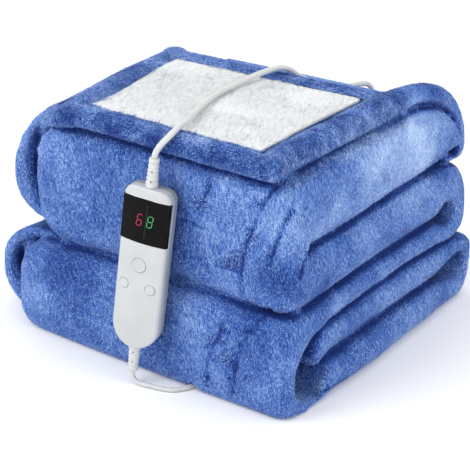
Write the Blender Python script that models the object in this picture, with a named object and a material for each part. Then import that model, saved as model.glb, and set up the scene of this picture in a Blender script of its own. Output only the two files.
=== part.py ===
"""Electric heated blanket: a fleece throw folded into a stack, with its hand controller and lead.

Metres, +Z up.  X runs along the long front side, Y goes from the front to the back.  The origin is
on the surface that the stack rests on, under the middle of the blanket and its controller.

The throw is first folded along X into a strip as wide as the stack is long, so each layer of the
section below is a bundle of plies with rounded ends.  That strip then goes back and forth along Y.
"""
import math

import bmesh
import bpy
import numpy as np
from mathutils import Matrix, Vector

# ---------------------------------------------------------------- driving dimensions
SEAT = 0.0003                 # clearance between pieces that touch

# The stack's layers: the height of each one's lower and upper side.
LAYERS = {
    "base": (0.0000, 0.0295),
    "inner": (0.0320, 0.0630),
    "lower_top": (0.0655, 0.0880),
    "upper_base": (0.0905, 0.1370),
    "upper_core": (0.1395, 0.2025),
}
# How far each layer reaches to the right and to the left.
RIGHT = {
    "base": 0.1650, "inner": 0.1560, "lower_top": 0.1550, "upper_base": 0.1560, "upper_core": 0.1580,
}
LEFT = {
    "base": -0.1400, "inner": -0.1340, "lower_top": -0.1200, "upper_base": -0.1120, "upper_core": -0.1100,
}
END_ROUND = 0.0150            # how far in from its end a thick layer starts to round off

# Where the layers run straight, along Y.
RUN_FRONT = -0.084
RUN_BACK = 0.094

# The turns between layers.  Each has an inner and an outer arc: where the arc starts on the lower
# and on the upper layer (y, z), how far it reaches, the height of that tip, and the bluntness of
# its half below the tip and above it: smaller is squarer.
TURNS = {
    "base_back": {
        "inner": {"low": (0.132, 0.019), "high": (0.128, 0.046),
                  "tip": 0.1465, "tip_z": 0.0330, "blunt": (0.60, 0.60)},
        "outer": {"low": (0.136, 0.000), "high": (0.126, 0.063),
                  "tip": 0.1590, "tip_z": 0.0340, "blunt": (0.60, 0.60)},
    },
    "lower_front": {
        "inner": {"low": (-0.096, 0.005), "high": (-0.088, 0.062),
                  "tip": -0.1320, "tip_z": 0.0230, "blunt": (0.80, 1.25)},
        "outer": {"low": (-0.136, 0.000), "high": (-0.112, 0.088),
                  "tip": -0.1490, "tip_z": 0.0370, "blunt": (0.50, 0.52)},
    },
    "middle_back": {
        "inner": {"low": (0.108, 0.082), "high": (0.108, 0.100),
                  "tip": 0.1270, "tip_z": 0.0910, "blunt": (0.65, 0.65)},
        "outer": {"low": (0.110, 0.0655), "high": (0.116, 0.137),
                  "tip": 0.1455, "tip_z": 0.0980, "blunt": (0.60, 0.60)},
    },
    "upper_front": {
        "inner": {"low": (-0.096, 0.137), "high": (-0.096, 0.1395),
                  "tip": -0.1120, "tip_z": 0.1385, "blunt": (0.80, 0.80)},
        "outer": {"low": (-0.112, 0.0905), "high": (-0.104, 0.2025),
                  "tip": -0.1430, "tip_z": 0.1500, "blunt": (0.48, 0.48)},
    },
}
TURN_RIGHT = {
    "base_back": 0.1590, "lower_front": 0.1570, "middle_back": 0.1570, "upper_front": 0.1570,
}
TURN_LEFT = {"base_back": -0.1380, "middle_back": -0.1150}
RUN_STEPS = 7                 # points along each straight run
TURN_STEPS = 11               # points round each turn

# The left ends of the two front walls follow an ellipse in X and Z: its centre and its reaches.
WALL_LEFT = {
    "lower_front": {"x": -0.098, "reach": 0.046, "z": 0.038, "down": 0.048, "up": 0.056},
    "upper_front": {"x": -0.076, "reach": 0.043, "z": 0.140, "down": 0.052, "up": 0.066},
}

# The inner layer's free front end, and the upper core's free back end, a large soft quarter round.
INNER_END = {"y": -0.086, "reach": 0.018, "drop": 0.0105}
CORE_END = {"tip_z": 0.152, "top_y": 0.050, "tip": 0.1370, "low_y": 0.105, "low_tip": 0.1365}
# The upper core's right end draws in over this stretch of Y, so that the flap's edge shows round it.
CORE_NARROW = {"from": -0.040, "to": 0.095, "right": 0.1515}

# The top flap with its rolled hem, which goes over the back of the upper core and tucks under it.
FLAP_UNDER = 0.2045           # height of its underside
FLAP_TOP = 0.2165             # height of its upper side inside the hem
HEM_RISE = 0.0060             # how far the hem roll stands above that
HEM_FRONT_WIDTH = 0.0160
HEM_RIGHT_WIDTH = 0.0240
HEM_TURN_SHARE = 0.45         # how much of the right hem's height is left where it goes down the back
HEM_DROOP = 0.0035            # how far the front hem hangs lower towards the right
HEM_CORNER_FALL = 0.0070      # how far it falls at the stack's left front corner
HEM_END_RADIUS = 0.0095
FLAP_FRONT = -0.1480
FLAP_RIGHT = 0.1450
FLAP_LEFT = -0.0800
FLAP_ROUND_Y = 0.050          # where it starts to go down over the back
FLAP_INNER_REACH = 0.0890
FLAP_OUTER_REACH = 0.0990
FLAP_SQUARE = 0.88
FLAP_TIP_Z = 0.151
FLAP_TAIL_RIGHT = 0.1500
FLAP_TAIL_LEFT = -0.1100
# Its tail below that, as pairs of inner and outer points (y, z); the last pair lies inside the core.
FLAP_TAIL = (
    {"inner": (0.1385, 0.1440), "outer": (0.1475, 0.1425)},
    {"inner": (0.1340, 0.1420), "outer": (0.1410, 0.1378)},
    {"inner": (0.1250, 0.1435), "outer": (0.1290, 0.1378)},
    {"inner": (0.1120, 0.1450), "outer": (0.1150, 0.1395)},
)

# The back and left borders of the top, lower than the hem roll.
BORDER_BACK_Y = 0.0270
BORDER_LEFT_X = -0.0680
BORDER_RISE = 0.0060
BORDER_WIDTH = 0.0220

# The outer ply that wraps the left end of each half of the stack, as an arc in X and Z.
WRAP_UPPER = {
    "inner": {"start": (-0.052, 0.2060), "x": -0.074, "reach": 0.0580, "z": 0.145,
              "up": 0.0600, "square_up": 0.95, "down": 0.0380, "square_down": 0.60,
              "end": (-0.060, 0.1070)},
    "outer": {"start": (-0.052, 0.2130), "x": -0.070, "reach": 0.0840, "z": 0.132,
              "up": 0.0860, "square_up": 1.45, "down": 0.0330, "square_down": 0.50,
              "end": (-0.060, 0.0990)},
    "front_top": -0.1280, "front_low": -0.1260, "back_top": 0.0440, "back_reach": 0.0820,
}
WRAP_LOWER = {
    "inner": {"start": (-0.086, 0.0780), "x": -0.104, "reach": 0.0560, "z": 0.044,
              "up": 0.0390, "square_up": 0.85, "down": 0.0310, "square_down": 0.85,
              "end": (-0.086, 0.0150)},
    "outer": {"start": (-0.086, 0.0860), "x": -0.104, "reach": 0.0710, "z": 0.040,
              "up": 0.0530, "square_up": 1.00, "down": 0.0385, "square_down": 0.42,
              "end": (-0.086, 0.0040)},
    "front_top": -0.1260, "front_low": -0.1260, "back_top": 0.1480, "back_reach": 0.0,
}
WRAP_STEPS = 13

# How the front swells along X: it draws back towards its two ends.
FRONT_LEFT_X = -0.1420
FRONT_LEFT_ZONE = 0.060
FRONT_LEFT_DEPTH = 0.0110
FRONT_RIGHT_X = 0.1600
FRONT_RIGHT_ZONE = 0.030
FRONT_RIGHT_DEPTH = 0.0060
FRONT_SWAY = 0.0012
FRONT_FADE = (-0.125, -0.075)

# The top falls off behind its back border, but for the hem at the right.
BACK_FALL = {
    "start": 0.036, "length": 0.112, "early": 0.90, "depth": 0.0210,
    "z_low": 0.140, "z_high": 0.196, "x_from": 0.095, "x_to": 0.130,
}
LEAN_LEFT = 0.0210            # how far the top's left border goes outwards from front to back

# The sherpa field inset in the top.
SHERPA_CORNERS = ((-0.0530, -0.1270), (0.1190, -0.1295), (0.1180, 0.0150), (-0.0530, 0.0120))
SHERPA_BOWS = (-0.0012, 0.0010, 0.0010, 0.0010)     # how far in each edge bends, the front edge first
SHERPA_THICK = 0.0030

# The groove in the front edge's underside where the lower lead goes in.
GROOVE = {"x": 0.0620, "y_end": -0.1120, "radius": 0.0046, "z": 0.0018, "length": 0.0600}

# The controller: its own axes are u to the right, v up along it and n out of its face.
CTRL_LENGTH = 0.1423
CTRL_WIDTH = 0.0413
CTRL_DEPTH = 0.0165
CTRL_SPLIT = 0.0070           # height of the joint between the shells above the back
CTRL_CROWN_RADIUS = 0.0850    # radius of the face across its width
CTRL_TOP_RADIUS = 0.0090      # corner radius at the upper end
CTRL_EDGE = 0.0025            # rounding of the face's and the back's edge
CTRL_CENTRE = (0.0249, -0.1530, 0.1073)
CTRL_TURN_Z = math.radians(12.0)
CTRL_TURN_Y = math.radians(6.8)
CTRL_TURN_X = math.radians(-1.7)

WINDOW = {"v": 0.0435, "length": 0.0375, "seat": 0.0060}
BUTTONS = {
    "button_power": {"u": -0.0005, "v": 0.0051, "radius": 0.0062},
    "button_minus": {"u": -0.0124, "v": -0.0142, "radius": 0.0043},
    "button_plus": {"u": 0.0110, "v": -0.0142, "radius": 0.0043},
}
BUTTON_HEIGHT = 0.0030
BUTTON_PROUD = 0.0006
BUTTON_GAP = 0.0003
BUTTON_TRAVEL = 0.0008
WELL_DEPTH = BUTTON_HEIGHT - BUTTON_PROUD + BUTTON_TRAVEL + 0.0004

RELIEF = {"length": 0.0240, "root": 0.0052, "tip": 0.0042, "ribs": 5, "groove": 0.0005}
RELIEF_N = 0.0085             # height of the leads' axis above the controller's back

# The leads.
LEAD_DIAMETER = 0.0050
LOWER_LEAD_DIAMETER = 0.0040
LEAD_START = 0.0020           # straight length at a strain relief
MAINS_ROUTE = (
    (0.0386, -0.1556, 0.2078), (0.0410, -0.1543, 0.2120), (0.0440, -0.1523, 0.2163),
    (0.0466, -0.1492, 0.2200), (0.0479, -0.1445, 0.2232), (0.0473, -0.1368, 0.2250),
    (0.0443, -0.1262, 0.2251), (0.0392, -0.1115, 0.2248), (0.0338, -0.0968, 0.2245),
    (0.0293, -0.0830, 0.2243), (0.0255, -0.0691, 0.2241), (0.0222, -0.0540, 0.2239),
    (0.0202, -0.0371, 0.2238), (0.0195, -0.0174, 0.2240), (0.0212, -0.0022, 0.2250),
    (0.0246, 0.0125, 0.2262), (0.0290, 0.0262, 0.2264), (0.0328, 0.0350, 0.2232),
    (0.0358, 0.0410, 0.2180), (0.0392, 0.0490, 0.2122), (0.0440, 0.0620, 0.2049),
    (0.0485, 0.0820, 0.1974), (0.0510, 0.1050, 0.1932), (0.0515, 0.1270, 0.1896),
    (0.0508, 0.1400, 0.1848), (0.0495, 0.1485, 0.1762), (0.0472, 0.1525, 0.1630),
    (0.0440, 0.1531, 0.1480), (0.0405, 0.1529, 0.1300), (0.0365, 0.1529, 0.1100),
    (0.0330, 0.1533, 0.0900), (0.0300, 0.1548, 0.0700), (0.0290, 0.1584, 0.0590),
    (0.0276, 0.1617, 0.0480), (0.0255, 0.1624, 0.0340), (0.0215, 0.1650, 0.0200),
    (0.0150, 0.1690, 0.0105), (0.0050, 0.1732, 0.0050), (-0.0070, 0.1756, 0.0030),
    (-0.0250, 0.1763, 0.0028), (-0.0450, 0.1763, 0.0028),
)
LOWER_ROUTE = (
    (0.0167, -0.1668, 0.0064), (0.0197, -0.1668, 0.0034), (0.0240, -0.1664, 0.0023),
    (0.0300, -0.1652, 0.0023), (0.0375, -0.1636, 0.0023), (0.0449, -0.1618, 0.0023),
    (0.0525, -0.1581, 0.0023),
    (0.0572, -0.1524, 0.0023), (0.0602, -0.1460, 0.0023), (0.0616, -0.1380, 0.0023),
    (0.0620, -0.1300, 0.0023),
)
TAIL_ROUTE = (
    (-0.0883, 0.2140, 0.0028), (-0.0883, 0.2240, 0.0028), (-0.0943, 0.2391, 0.0028),
    (-0.1095, 0.2455, 0.0032), (-0.1200, 0.2428, 0.0040), (-0.1268, 0.2360, 0.0053),
    (-0.1303, 0.2280, 0.0067), (-0.1310, 0.2194, 0.0073),
)
# The wound length of the mains lead, a ring on the surface behind the stack.
COIL = {
    "centre": (-0.0500, 0.2140), "radius": 0.0275, "wide": 0.0155, "high": 0.0155,
    "corner": 0.0035, "lift": 0.0001,
}

# The mains plug: stations from its pin face to its cable end, as length, half width, half height.
PLUG = {"face": (-0.1310, 0.1830, 0.0073), "pin_radius": 0.0020, "pin_length": 0.0190, "pin_apart": 0.0186}
PLUG_STATIONS = (
    (0.0000, 0.0166, 0.0058), (0.0012, 0.0176, 0.0068), (0.0080, 0.0176, 0.0070),
    (0.0150, 0.0150, 0.0070), (0.0210, 0.0100, 0.0066), (0.0255, 0.0060, 0.0056),
    (0.0280, 0.0046, 0.0046), (0.0350, 0.0038, 0.0038), (0.0360, 0.0033, 0.0033),
)

# Brings the origin under the middle of the blanket and its controller.
ORIGIN_SHIFT = (0.0052, 0.0076, 0.0000)

FLEECE_BLUE = (0.102, 0.205, 0.638)
SHERPA_WHITE = (0.86, 0.86, 0.85)
SHELL_WHITE = (0.82, 0.83, 0.84)
WINDOW_BLACK = (0.012, 0.012, 0.013)
LEAD_WHITE = (0.74, 0.74, 0.73)
PIN_METAL = (0.72, 0.70, 0.64)


# ---------------------------------------------------------------- small tools
def clear_scene():
    for old in list(bpy.data.objects):
        bpy.data.objects.remove(old, do_unlink=True)


def material(name, colour, roughness, metallic=0.0):
    made = bpy.data.materials.new(name)
    made.use_nodes = True
    shader = made.node_tree.nodes["Principled BSDF"]
    shader.inputs["Base Color"].default_value = (*colour, 1.0)
    shader.inputs["Roughness"].default_value = roughness
    shader.inputs["Metallic"].default_value = metallic
    return made


def add_object(name, mesh, finish):
    made = bpy.data.objects.new(name, mesh)
    bpy.context.scene.collection.objects.link(made)
    if finish is not None:
        made.data.materials.append(finish)
    return made


def mesh_from_bmesh(name, bm):
    bmesh.ops.recalc_face_normals(bm, faces=bm.faces)
    mesh = bpy.data.meshes.new(name)
    bm.to_mesh(mesh)
    bm.free()
    return mesh


def smooth(mesh, angle=math.radians(40.0)):
    mesh.shade_smooth()
    mesh.set_sharp_from_angle(angle=angle)


def step(low, high, value):
    """Goes smoothly from 0 at low to 1 at high."""
    t = np.clip((value - low) / (high - low), 0.0, 1.0)
    return t * t * (3.0 - 2.0 * t)


def roll(distance, width):
    """Cross-section of a rolled hem: 1 at its crest, 0 at its two sides."""
    t = np.clip(1.0 - np.abs(distance) / (0.5 * width), 0.0, 1.0)
    return np.sin(0.5 * math.pi * t)


def apply_modifiers(target):
    """Replaces the mesh by the evaluated one, so that cutters can be removed."""
    graph = bpy.context.evaluated_depsgraph_get()
    graph.update()
    mesh = bpy.data.meshes.new_from_object(target.evaluated_get(graph))
    target.modifiers.clear()
    target.data = mesh


def combine(target, other, operation):
    change = target.modifiers.new(operation.lower(), "BOOLEAN")
    change.operation = operation
    change.object = other
    change.solver = "EXACT"
    apply_modifiers(target)
    bpy.data.objects.remove(other, do_unlink=True)


# ---------------------------------------------------------------- ribbons of cloth
def arc(row, steps, side):
    """Points round one side of a turn, from the lower layer to the upper one."""
    (low_y, low_z), (high_y, high_z) = row[side]["low"], row[side]["high"]
    tip, tip_z, blunt = row[side]["tip"], row[side]["tip_z"], row[side]["blunt"]
    points = []
    for angle in np.linspace(-0.5 * math.pi, 0.5 * math.pi, steps):
        share = 0.5 + 0.5 * math.sin(angle)
        start_y = low_y + (high_y - low_y) * share
        power = blunt[1] if angle > 0.0 else blunt[0]
        out = max(math.cos(angle), 0.0) ** power
        lift = math.copysign(abs(math.sin(angle)) ** power, angle)
        reach_z = (high_z - tip_z) if lift > 0.0 else (tip_z - low_z)
        points.append((start_y + (tip - start_y) * out, tip_z + reach_z * lift))
    return np.array(points)


def layer_run(name, backwards):
    """A layer's lower and upper side along Y."""
    low, high = LAYERS[name]
    ys = np.linspace(RUN_FRONT, RUN_BACK, RUN_STEPS)
    if backwards:
        ys = ys[::-1]
    lower = np.column_stack([ys, np.full_like(ys, low)])
    upper = np.column_stack([ys, np.full_like(ys, high)])
    return lower, upper


def core_right(y):
    """How far the upper core reaches to the right at each y."""
    full = RIGHT["upper_core"]
    return full + (CORE_NARROW["right"] - full) * step(CORE_NARROW["from"], CORE_NARROW["to"], y)


def stack_section():
    """The folded strip's two sides, pair by pair, with the X limits at each pair.

    Side A faces up on the base layer; the strip starts at the inner layer's free front end and
    ends at the upper core's free back end.
    """
    side_a, side_b, right, left = [], [], [], []

    def put(a, b, x_right, x_left):
        side_a.append(np.asarray(a))
        side_b.append(np.asarray(b))
        right.append(np.broadcast_to(x_right, len(a)).astype(float))
        left.append(np.broadcast_to(x_left, len(a)).astype(float))

    def put_run(name, backwards, flip):
        lower, upper = layer_run(name, backwards)
        a, b = (upper, lower) if flip else (lower, upper)
        put(a, b, RIGHT[name], LEFT[name])

    def put_turn(name, inner_is_a, downwards=False):
        inner = arc(TURNS[name], TURN_STEPS, "inner")
        outer = arc(TURNS[name], TURN_STEPS, "outer")
        if name in WALL_LEFT:
            wall = WALL_LEFT[name]
            drop = outer[:, 1] - wall["z"]
            share = np.where(drop > 0.0, drop / wall["up"], drop / wall["down"])
            x_left = wall["x"] - wall["reach"] * np.sqrt(np.clip(1.0 - share ** 2, 0.0, 1.0))
        else:
            x_left = np.full(len(outer), TURN_LEFT[name])
        if downwards:
            inner, outer, x_left = inner[::-1], outer[::-1], x_left[::-1]
        a, b = (inner, outer) if inner_is_a else (outer, inner)
        put(a, b, TURN_RIGHT[name], x_left)

    low, high = LAYERS["inner"]
    angles = np.radians((12.0, 35.0, 62.0))
    middle = 0.5 * (low + high) - INNER_END["drop"] * np.cos(angles)
    ys = INNER_END["y"] - INNER_END["reach"] * np.cos(angles)
    half = 0.5 * (high - low) * np.sin(angles)
    put(np.column_stack([ys, middle - half]), np.column_stack([ys, middle + half]),
        RIGHT["inner"], LEFT["inner"])
    put_run("inner", backwards=False, flip=False)
    put_turn("base_back", inner_is_a=True, downwards=True)
    put_run("base", backwards=True, flip=True)
    put_turn("lower_front", inner_is_a=True)
    put_run("lower_top", backwards=False, flip=False)
    put_turn("middle_back", inner_is_a=False)
    put_run("upper_base", backwards=True, flip=True)
    put_turn("upper_front", inner_is_a=True)
    lower, upper = layer_run("upper_core", backwards=False)
    ahead = lower[:, 0] < CORE_END["top_y"]
    put(lower[ahead], upper[ahead], core_right(upper[ahead, 0]), LEFT["upper_core"])
    angles = np.radians((90.0, 76.0, 62.0, 48.0, 34.0, 21.0, 10.0))
    end = CORE_END
    low, high = LAYERS["upper_core"]
    top = np.column_stack([end["top_y"] + (end["tip"] - end["top_y"]) * np.cos(angles),
                           end["tip_z"] + (high - end["tip_z"]) * np.sin(angles)])
    under = np.column_stack([end["low_y"] + (end["low_tip"] - end["low_y"]) * np.cos(angles),
                             end["tip_z"] - (end["tip_z"] - low) * np.sin(angles)])
    put(under, top, core_right(top[:, 0]), LEFT["upper_core"])
    return (np.vstack(side_a), np.vstack(side_b), np.concatenate(right), np.concatenate(left))


def soften(values, rounds=1):
    """Evens out a list of X limits along the strip."""
    made = np.array(values, dtype=float)
    for _ in range(rounds):
        made[1:-1] = 0.25 * made[:-2] + 0.5 * made[1:-1] + 0.25 * made[2:]
    return made


def ring_positions(spans):
    """Rows across a ribbon: end roundings at both ends with the given shares between them.

    Each row is (end, angle or share): at an end the ribbon's thickness follows a circle.
    """
    angles = (14.0, 36.0, 62.0, 90.0)
    rows = [("far", math.radians(a)) for a in angles]
    rows += [("span", s) for s in spans]
    rows += [("near", math.radians(a)) for a in reversed(angles)]
    return rows


def ribbon(name, side_a, side_b, near, far, spans, shape):
    """A closed solid from pairs of points on a ribbon's two sides.

    near and far are the ribbon's limits along its width at each pair; shape(a, b, width) gives the
    two points in space for width coordinates, so that a ribbon may run along X or along Y.
    """
    half = 0.5 * np.linalg.norm(side_b - side_a, axis=1)
    round_by = np.minimum(half, END_ROUND)
    sign = np.sign(near - far)
    middle = 0.5 * (side_a + side_b)
    rows = []
    for kind, value in ring_positions(spans):
        if kind == "span":
            lowest, highest = far + sign * round_by, near - sign * round_by
            width = lowest + (highest - lowest) * value
            scale = 1.0
        else:
            scale = math.sin(value)
            inset = sign * round_by * (1.0 - math.cos(value))
            width = far + inset if kind == "far" else near - inset
        a = middle + (side_a - middle) * scale
        b = middle + (side_b - middle) * scale
        rows.append(shape(a, b, width))
    bm = bmesh.new()
    grid_a = [[bm.verts.new(p) for p in a] for a, _ in rows]
    grid_b = [[bm.verts.new(p) for p in b] for _, b in rows]
    across, along = len(rows), len(side_a)
    for j in range(across - 1):
        for k in range(along - 1):
            bm.faces.new((grid_a[j][k], grid_a[j][k + 1], grid_a[j + 1][k + 1], grid_a[j + 1][k]))
            bm.faces.new((grid_b[j][k], grid_b[j + 1][k], grid_b[j + 1][k + 1], grid_b[j][k + 1]))
    for j in (0, across - 1):
        for k in range(along - 1):
            bm.faces.new((grid_a[j][k], grid_b[j][k], grid_b[j][k + 1], grid_a[j][k + 1]))
    for k in (0, along - 1):
        for j in range(across - 1):
            bm.faces.new((grid_a[j][k], grid_b[j][k], grid_b[j + 1][k], grid_a[j + 1][k]))
    return add_object(name, mesh_from_bmesh(name, bm), None)


def draw_back(points):
    """Moves points of the front as it swells: back towards its two ends, with a slight sway."""
    x, y, z = points.T
    left = np.clip((FRONT_LEFT_ZONE - (x - FRONT_LEFT_X)) / FRONT_LEFT_ZONE, 0.0, 1.0)
    right = np.clip((FRONT_RIGHT_ZONE - (FRONT_RIGHT_X - x)) / FRONT_RIGHT_ZONE, 0.0, 1.0)
    depth = FRONT_LEFT_DEPTH * (1.0 - np.sqrt(1.0 - left ** 2 * 0.98))
    depth += FRONT_RIGHT_DEPTH * (1.0 - np.sqrt(1.0 - right ** 2 * 0.98))
    sway = FRONT_SWAY * np.sin(33.0 * x + 0.6) * step(0.010, 0.030, z) * (1.0 - step(0.170, 0.200, z))
    front = 1.0 - step(FRONT_FADE[0], FRONT_FADE[1], y)
    moved = points.copy()
    moved[:, 1] += front * (depth * (1.0 - step(0.195, 0.205, z)) + sway)
    return moved


def settle(points):
    """Moves points as the stack has sagged: the top's fall at the back, its lean, slow waves."""
    x, y, z = points.T
    fall = np.clip((y - BACK_FALL["start"]) / BACK_FALL["length"], 0.0, 1.0)
    fall = BACK_FALL["depth"] * np.sin(math.pi * fall ** BACK_FALL["early"])
    fall = fall * step(BACK_FALL["z_low"], BACK_FALL["z_high"], z)
    fall = fall * (1.0 - step(BACK_FALL["x_from"], BACK_FALL["x_to"], x))
    held = step(0.030, 0.070, z) * (1.0 - step(0.150, 0.200, z))
    wave = held * (0.0016 * np.sin(21.0 * x + 1.3) + 0.0012 * np.sin(17.0 * y + 9.0 * x))
    lean = step(-0.130, 0.020, y) * (1.0 - step(-0.050, 0.020, x)) * step(0.150, 0.200, z)
    return np.column_stack([x - LEAN_LEFT * lean, y, z - fall + wave])


def along_x(a, b, width):
    return tuple(settle(draw_back(np.column_stack([width, side[:, 0], side[:, 1]]))) for side in (a, b))


def along_y(a, b, width):
    return tuple(settle(np.column_stack([side[:, 0], width, side[:, 1]])) for side in (a, b))


def folded_strip():
    side_a, side_b, right, left = stack_section()
    spans = (0.05, 0.13, 0.26, 0.42, 0.58, 0.74, 0.88, 0.96)
    return ribbon("blanket_cloth", side_a, side_b, soften(right, 3), soften(left, 3), spans, along_x)


def flap_rise(points, edge):
    """How far the flap's upper side stands out: the hem roll at front and right, borders elsewhere.

    edge is the flap's right limit at each point.
    """
    x, y, z = points.T
    front = roll(y - (FLAP_FRONT + 0.5 * HEM_FRONT_WIDTH), HEM_FRONT_WIDTH) * HEM_RISE
    right = roll(x - (edge - 0.5 * HEM_RIGHT_WIDTH), HEM_RIGHT_WIDTH) * HEM_RISE
    right = right * (1.0 - (1.0 - HEM_TURN_SHARE) * step(FLAP_ROUND_Y - 0.010, FLAP_ROUND_Y + 0.035, y))
    right = right * step(FLAP_TIP_Z - 0.004, FLAP_TIP_Z + 0.022, z)
    back = roll(y - BORDER_BACK_Y, BORDER_WIDTH) * BORDER_RISE
    left = roll(x - BORDER_LEFT_X, BORDER_WIDTH) * BORDER_RISE
    left = left * (1.0 - step(FLAP_ROUND_Y - 0.015, FLAP_ROUND_Y + 0.070, y))
    return np.maximum.reduce([front, right, back, left])


def top_flap():
    """The hemmed flap over the top, down over the back and tucked in under the upper core."""
    angles = np.radians((14.0, 40.0, 66.0, 90.0))
    centre_z = FLAP_UNDER + HEM_END_RADIUS
    ys = FLAP_FRONT + HEM_END_RADIUS * (1.0 - np.cos(angles))
    under = [(y, centre_z - HEM_END_RADIUS * math.sin(a)) for y, a in zip(ys, angles)]
    over = [(y, centre_z + (FLAP_TOP - centre_z) * math.sin(a)) for y, a in zip(ys, angles)]
    for y in (-0.1340, -0.1305, -0.1180, -0.0950, -0.0650, -0.0300, 0.0000, 0.0155, 0.0210,
              0.0270, 0.0325, 0.0375, 0.0430):
        under.append((y, FLAP_UNDER))
        over.append((y, FLAP_TOP))
    for angle in np.radians(np.linspace(8.0, 90.0, 9)):
        sine, cosine = math.sin(angle), math.cos(angle)
        under.append((FLAP_ROUND_Y + FLAP_INNER_REACH * sine,
                      FLAP_TIP_Z + (FLAP_UNDER - FLAP_TIP_Z) * cosine))
        over.append((FLAP_ROUND_Y + FLAP_OUTER_REACH * sine ** FLAP_SQUARE,
                     FLAP_TIP_Z + (FLAP_TOP - FLAP_TIP_Z) * cosine ** FLAP_SQUARE))
    under += [row["inner"] for row in FLAP_TAIL]
    over += [row["outer"] for row in FLAP_TAIL]
    under, over = np.array(under), np.array(over)
    down = step(0.210, 0.150, over[:, 1])
    right = soften(FLAP_RIGHT + (FLAP_TAIL_RIGHT - FLAP_RIGHT) * down, 2)
    left = soften(FLAP_LEFT + (FLAP_TAIL_LEFT - FLAP_LEFT) * down, 2)
    thickness = np.linalg.norm(over - under, axis=1)
    outward = (over - under) / thickness[:, None]
    spans = (0.020, 0.045, 0.075, 0.110, 0.20, 0.34, 0.50, 0.66, 0.80, 0.905, 0.932, 0.958, 0.982)

    def shape(a, b, width):
        low = np.column_stack([width, a[:, 0], a[:, 1]])
        high = np.column_stack([width, b[:, 0], b[:, 1]])
        full = np.linalg.norm(b - a, axis=1) / thickness
        rise = flap_rise(high, right) * full
        high[:, 1:] += rise[:, None] * outward
        for side in (low, high):
            hang = HEM_DROOP * step(-0.060, 0.100, side[:, 0])
            hang += HEM_CORNER_FALL * (1.0 - step(-0.086, -0.046, side[:, 0]))
            side[:, 2] -= hang * (1.0 - step(FLAP_FRONT, FLAP_FRONT + 0.030, side[:, 1]))
        return settle(draw_back(low)), settle(draw_back(high))

    return ribbon("top_flap", under, over, right, left, spans, shape)


def wrap_arc(row, steps):
    points = [row["start"]]
    for angle in np.linspace(0.0, math.pi, steps):
        lift = math.cos(angle)
        reach_z, square = (row["up"], row["square_up"]) if lift > 0.0 else (row["down"], row["square_down"])
        out = max(math.sin(angle), 0.0) ** square
        points.append((row["x"] - row["reach"] * out, row["z"] + reach_z * lift))
    points.append(row["end"])
    return np.array(points)


def left_wrap(name, row):
    """The outer ply round the left end of one half of the stack."""
    inner, outer = wrap_arc(row["inner"], WRAP_STEPS), wrap_arc(row["outer"], WRAP_STEPS)
    z = outer[:, 1]
    down = step(outer[:, 1].max(), row["outer"]["z"], z)
    front = row["front_top"] + (row["front_low"] - row["front_top"]) * down
    share = np.clip((z - row["outer"]["z"]) / row["outer"]["up"], 0.0, 1.0)
    back = row["back_top"] + row["back_reach"] * np.sqrt(1.0 - share ** 2)
    spans = (0.04, 0.12, 0.27, 0.42, 0.58, 0.73, 0.88, 0.96)
    return ribbon(name, inner, outer, front, back, spans, along_y)


def blanket(fleece):
    cloth = folded_strip()
    combine(cloth, top_flap(), "UNION")
    combine(cloth, left_wrap("wrap_upper", WRAP_UPPER), "UNION")
    combine(cloth, left_wrap("wrap_lower", WRAP_LOWER), "UNION")
    bm = bmesh.new()
    middle = (GROOVE["x"], GROOVE["y_end"] - 0.5 * GROOVE["length"], GROOVE["z"])
    bmesh.ops.create_cone(bm, cap_ends=True, segments=14, radius1=GROOVE["radius"],
                          radius2=GROOVE["radius"], depth=GROOVE["length"],
                          matrix=Matrix.Translation(middle) @ Matrix.Rotation(0.5 * math.pi, 4, "X"))
    groove = add_object("groove", mesh_from_bmesh("groove", bm), None)
    combine(cloth, groove, "DIFFERENCE")
    cloth.data.materials.clear()
    cloth.data.materials.append(fleece)
    smooth(cloth.data)
    return cloth


def sherpa_panel(finish):
    """The field of sherpa that shows inside the hem, a thin panel with a slightly wavy outline."""
    low = FLAP_TOP + SEAT
    high = low + SHERPA_THICK
    corners = [Vector(c) for c in SHERPA_CORNERS]
    outline = []
    steps = 9
    for start, end, bow in zip(corners, corners[1:] + corners[:1], SHERPA_BOWS):
        inward = Vector((-(end - start).y, (end - start).x)).normalized()
        for i in range(steps):
            t = i / steps
            outline.append(start.lerp(end, t) + inward * bow * math.sin(math.pi * t))
    centre = sum(corners, Vector((0.0, 0.0))) / 4.0
    bm = bmesh.new()
    rings = []
    for inset, z in ((0.000, low), (0.000, high - 0.0010), (0.0015, high), (0.030, high + 0.0004)):
        ring = []
        for point in outline:
            away = point - centre
            moved = centre + away * (1.0 - inset / max(abs(away.x), abs(away.y)))
            place = settle(np.array([[moved.x, moved.y, z]]))[0]
            ring.append(bm.verts.new(place))
        rings.append(ring)
    count = len(outline)
    for lower, upper in zip(rings, rings[1:]):
        for i in range(count):
            j = (i + 1) % count
            bm.faces.new((lower[i], lower[j], upper[j], upper[i]))
    bm.faces.new(list(reversed(rings[0])))
    bm.faces.new(rings[-1])
    mesh = mesh_from_bmesh("sherpa_panel", bm)
    smooth(mesh)
    return add_object("sherpa_panel", mesh, finish)


# ---------------------------------------------------------------- controller
def controller_frame():
    """The controller's place: u, v and n of its own axes become X, Y and Z of this matrix."""
    turn = (Matrix.Rotation(CTRL_TURN_Z, 4, "Z") @ Matrix.Rotation(CTRL_TURN_Y, 4, "Y")
            @ Matrix.Rotation(CTRL_TURN_X, 4, "X"))
    stand = Matrix(((1, 0, 0, 0), (0, 0, -1, 0), (0, 1, 0, 0), (0, 0, 0, 1)))
    return Matrix.Translation(CTRL_CENTRE) @ turn @ stand


def crown(u):
    """Height of the controller's face above its back, across its width."""
    return CTRL_DEPTH - (CTRL_CROWN_RADIUS - math.sqrt(CTRL_CROWN_RADIUS ** 2 - u * u))


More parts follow.
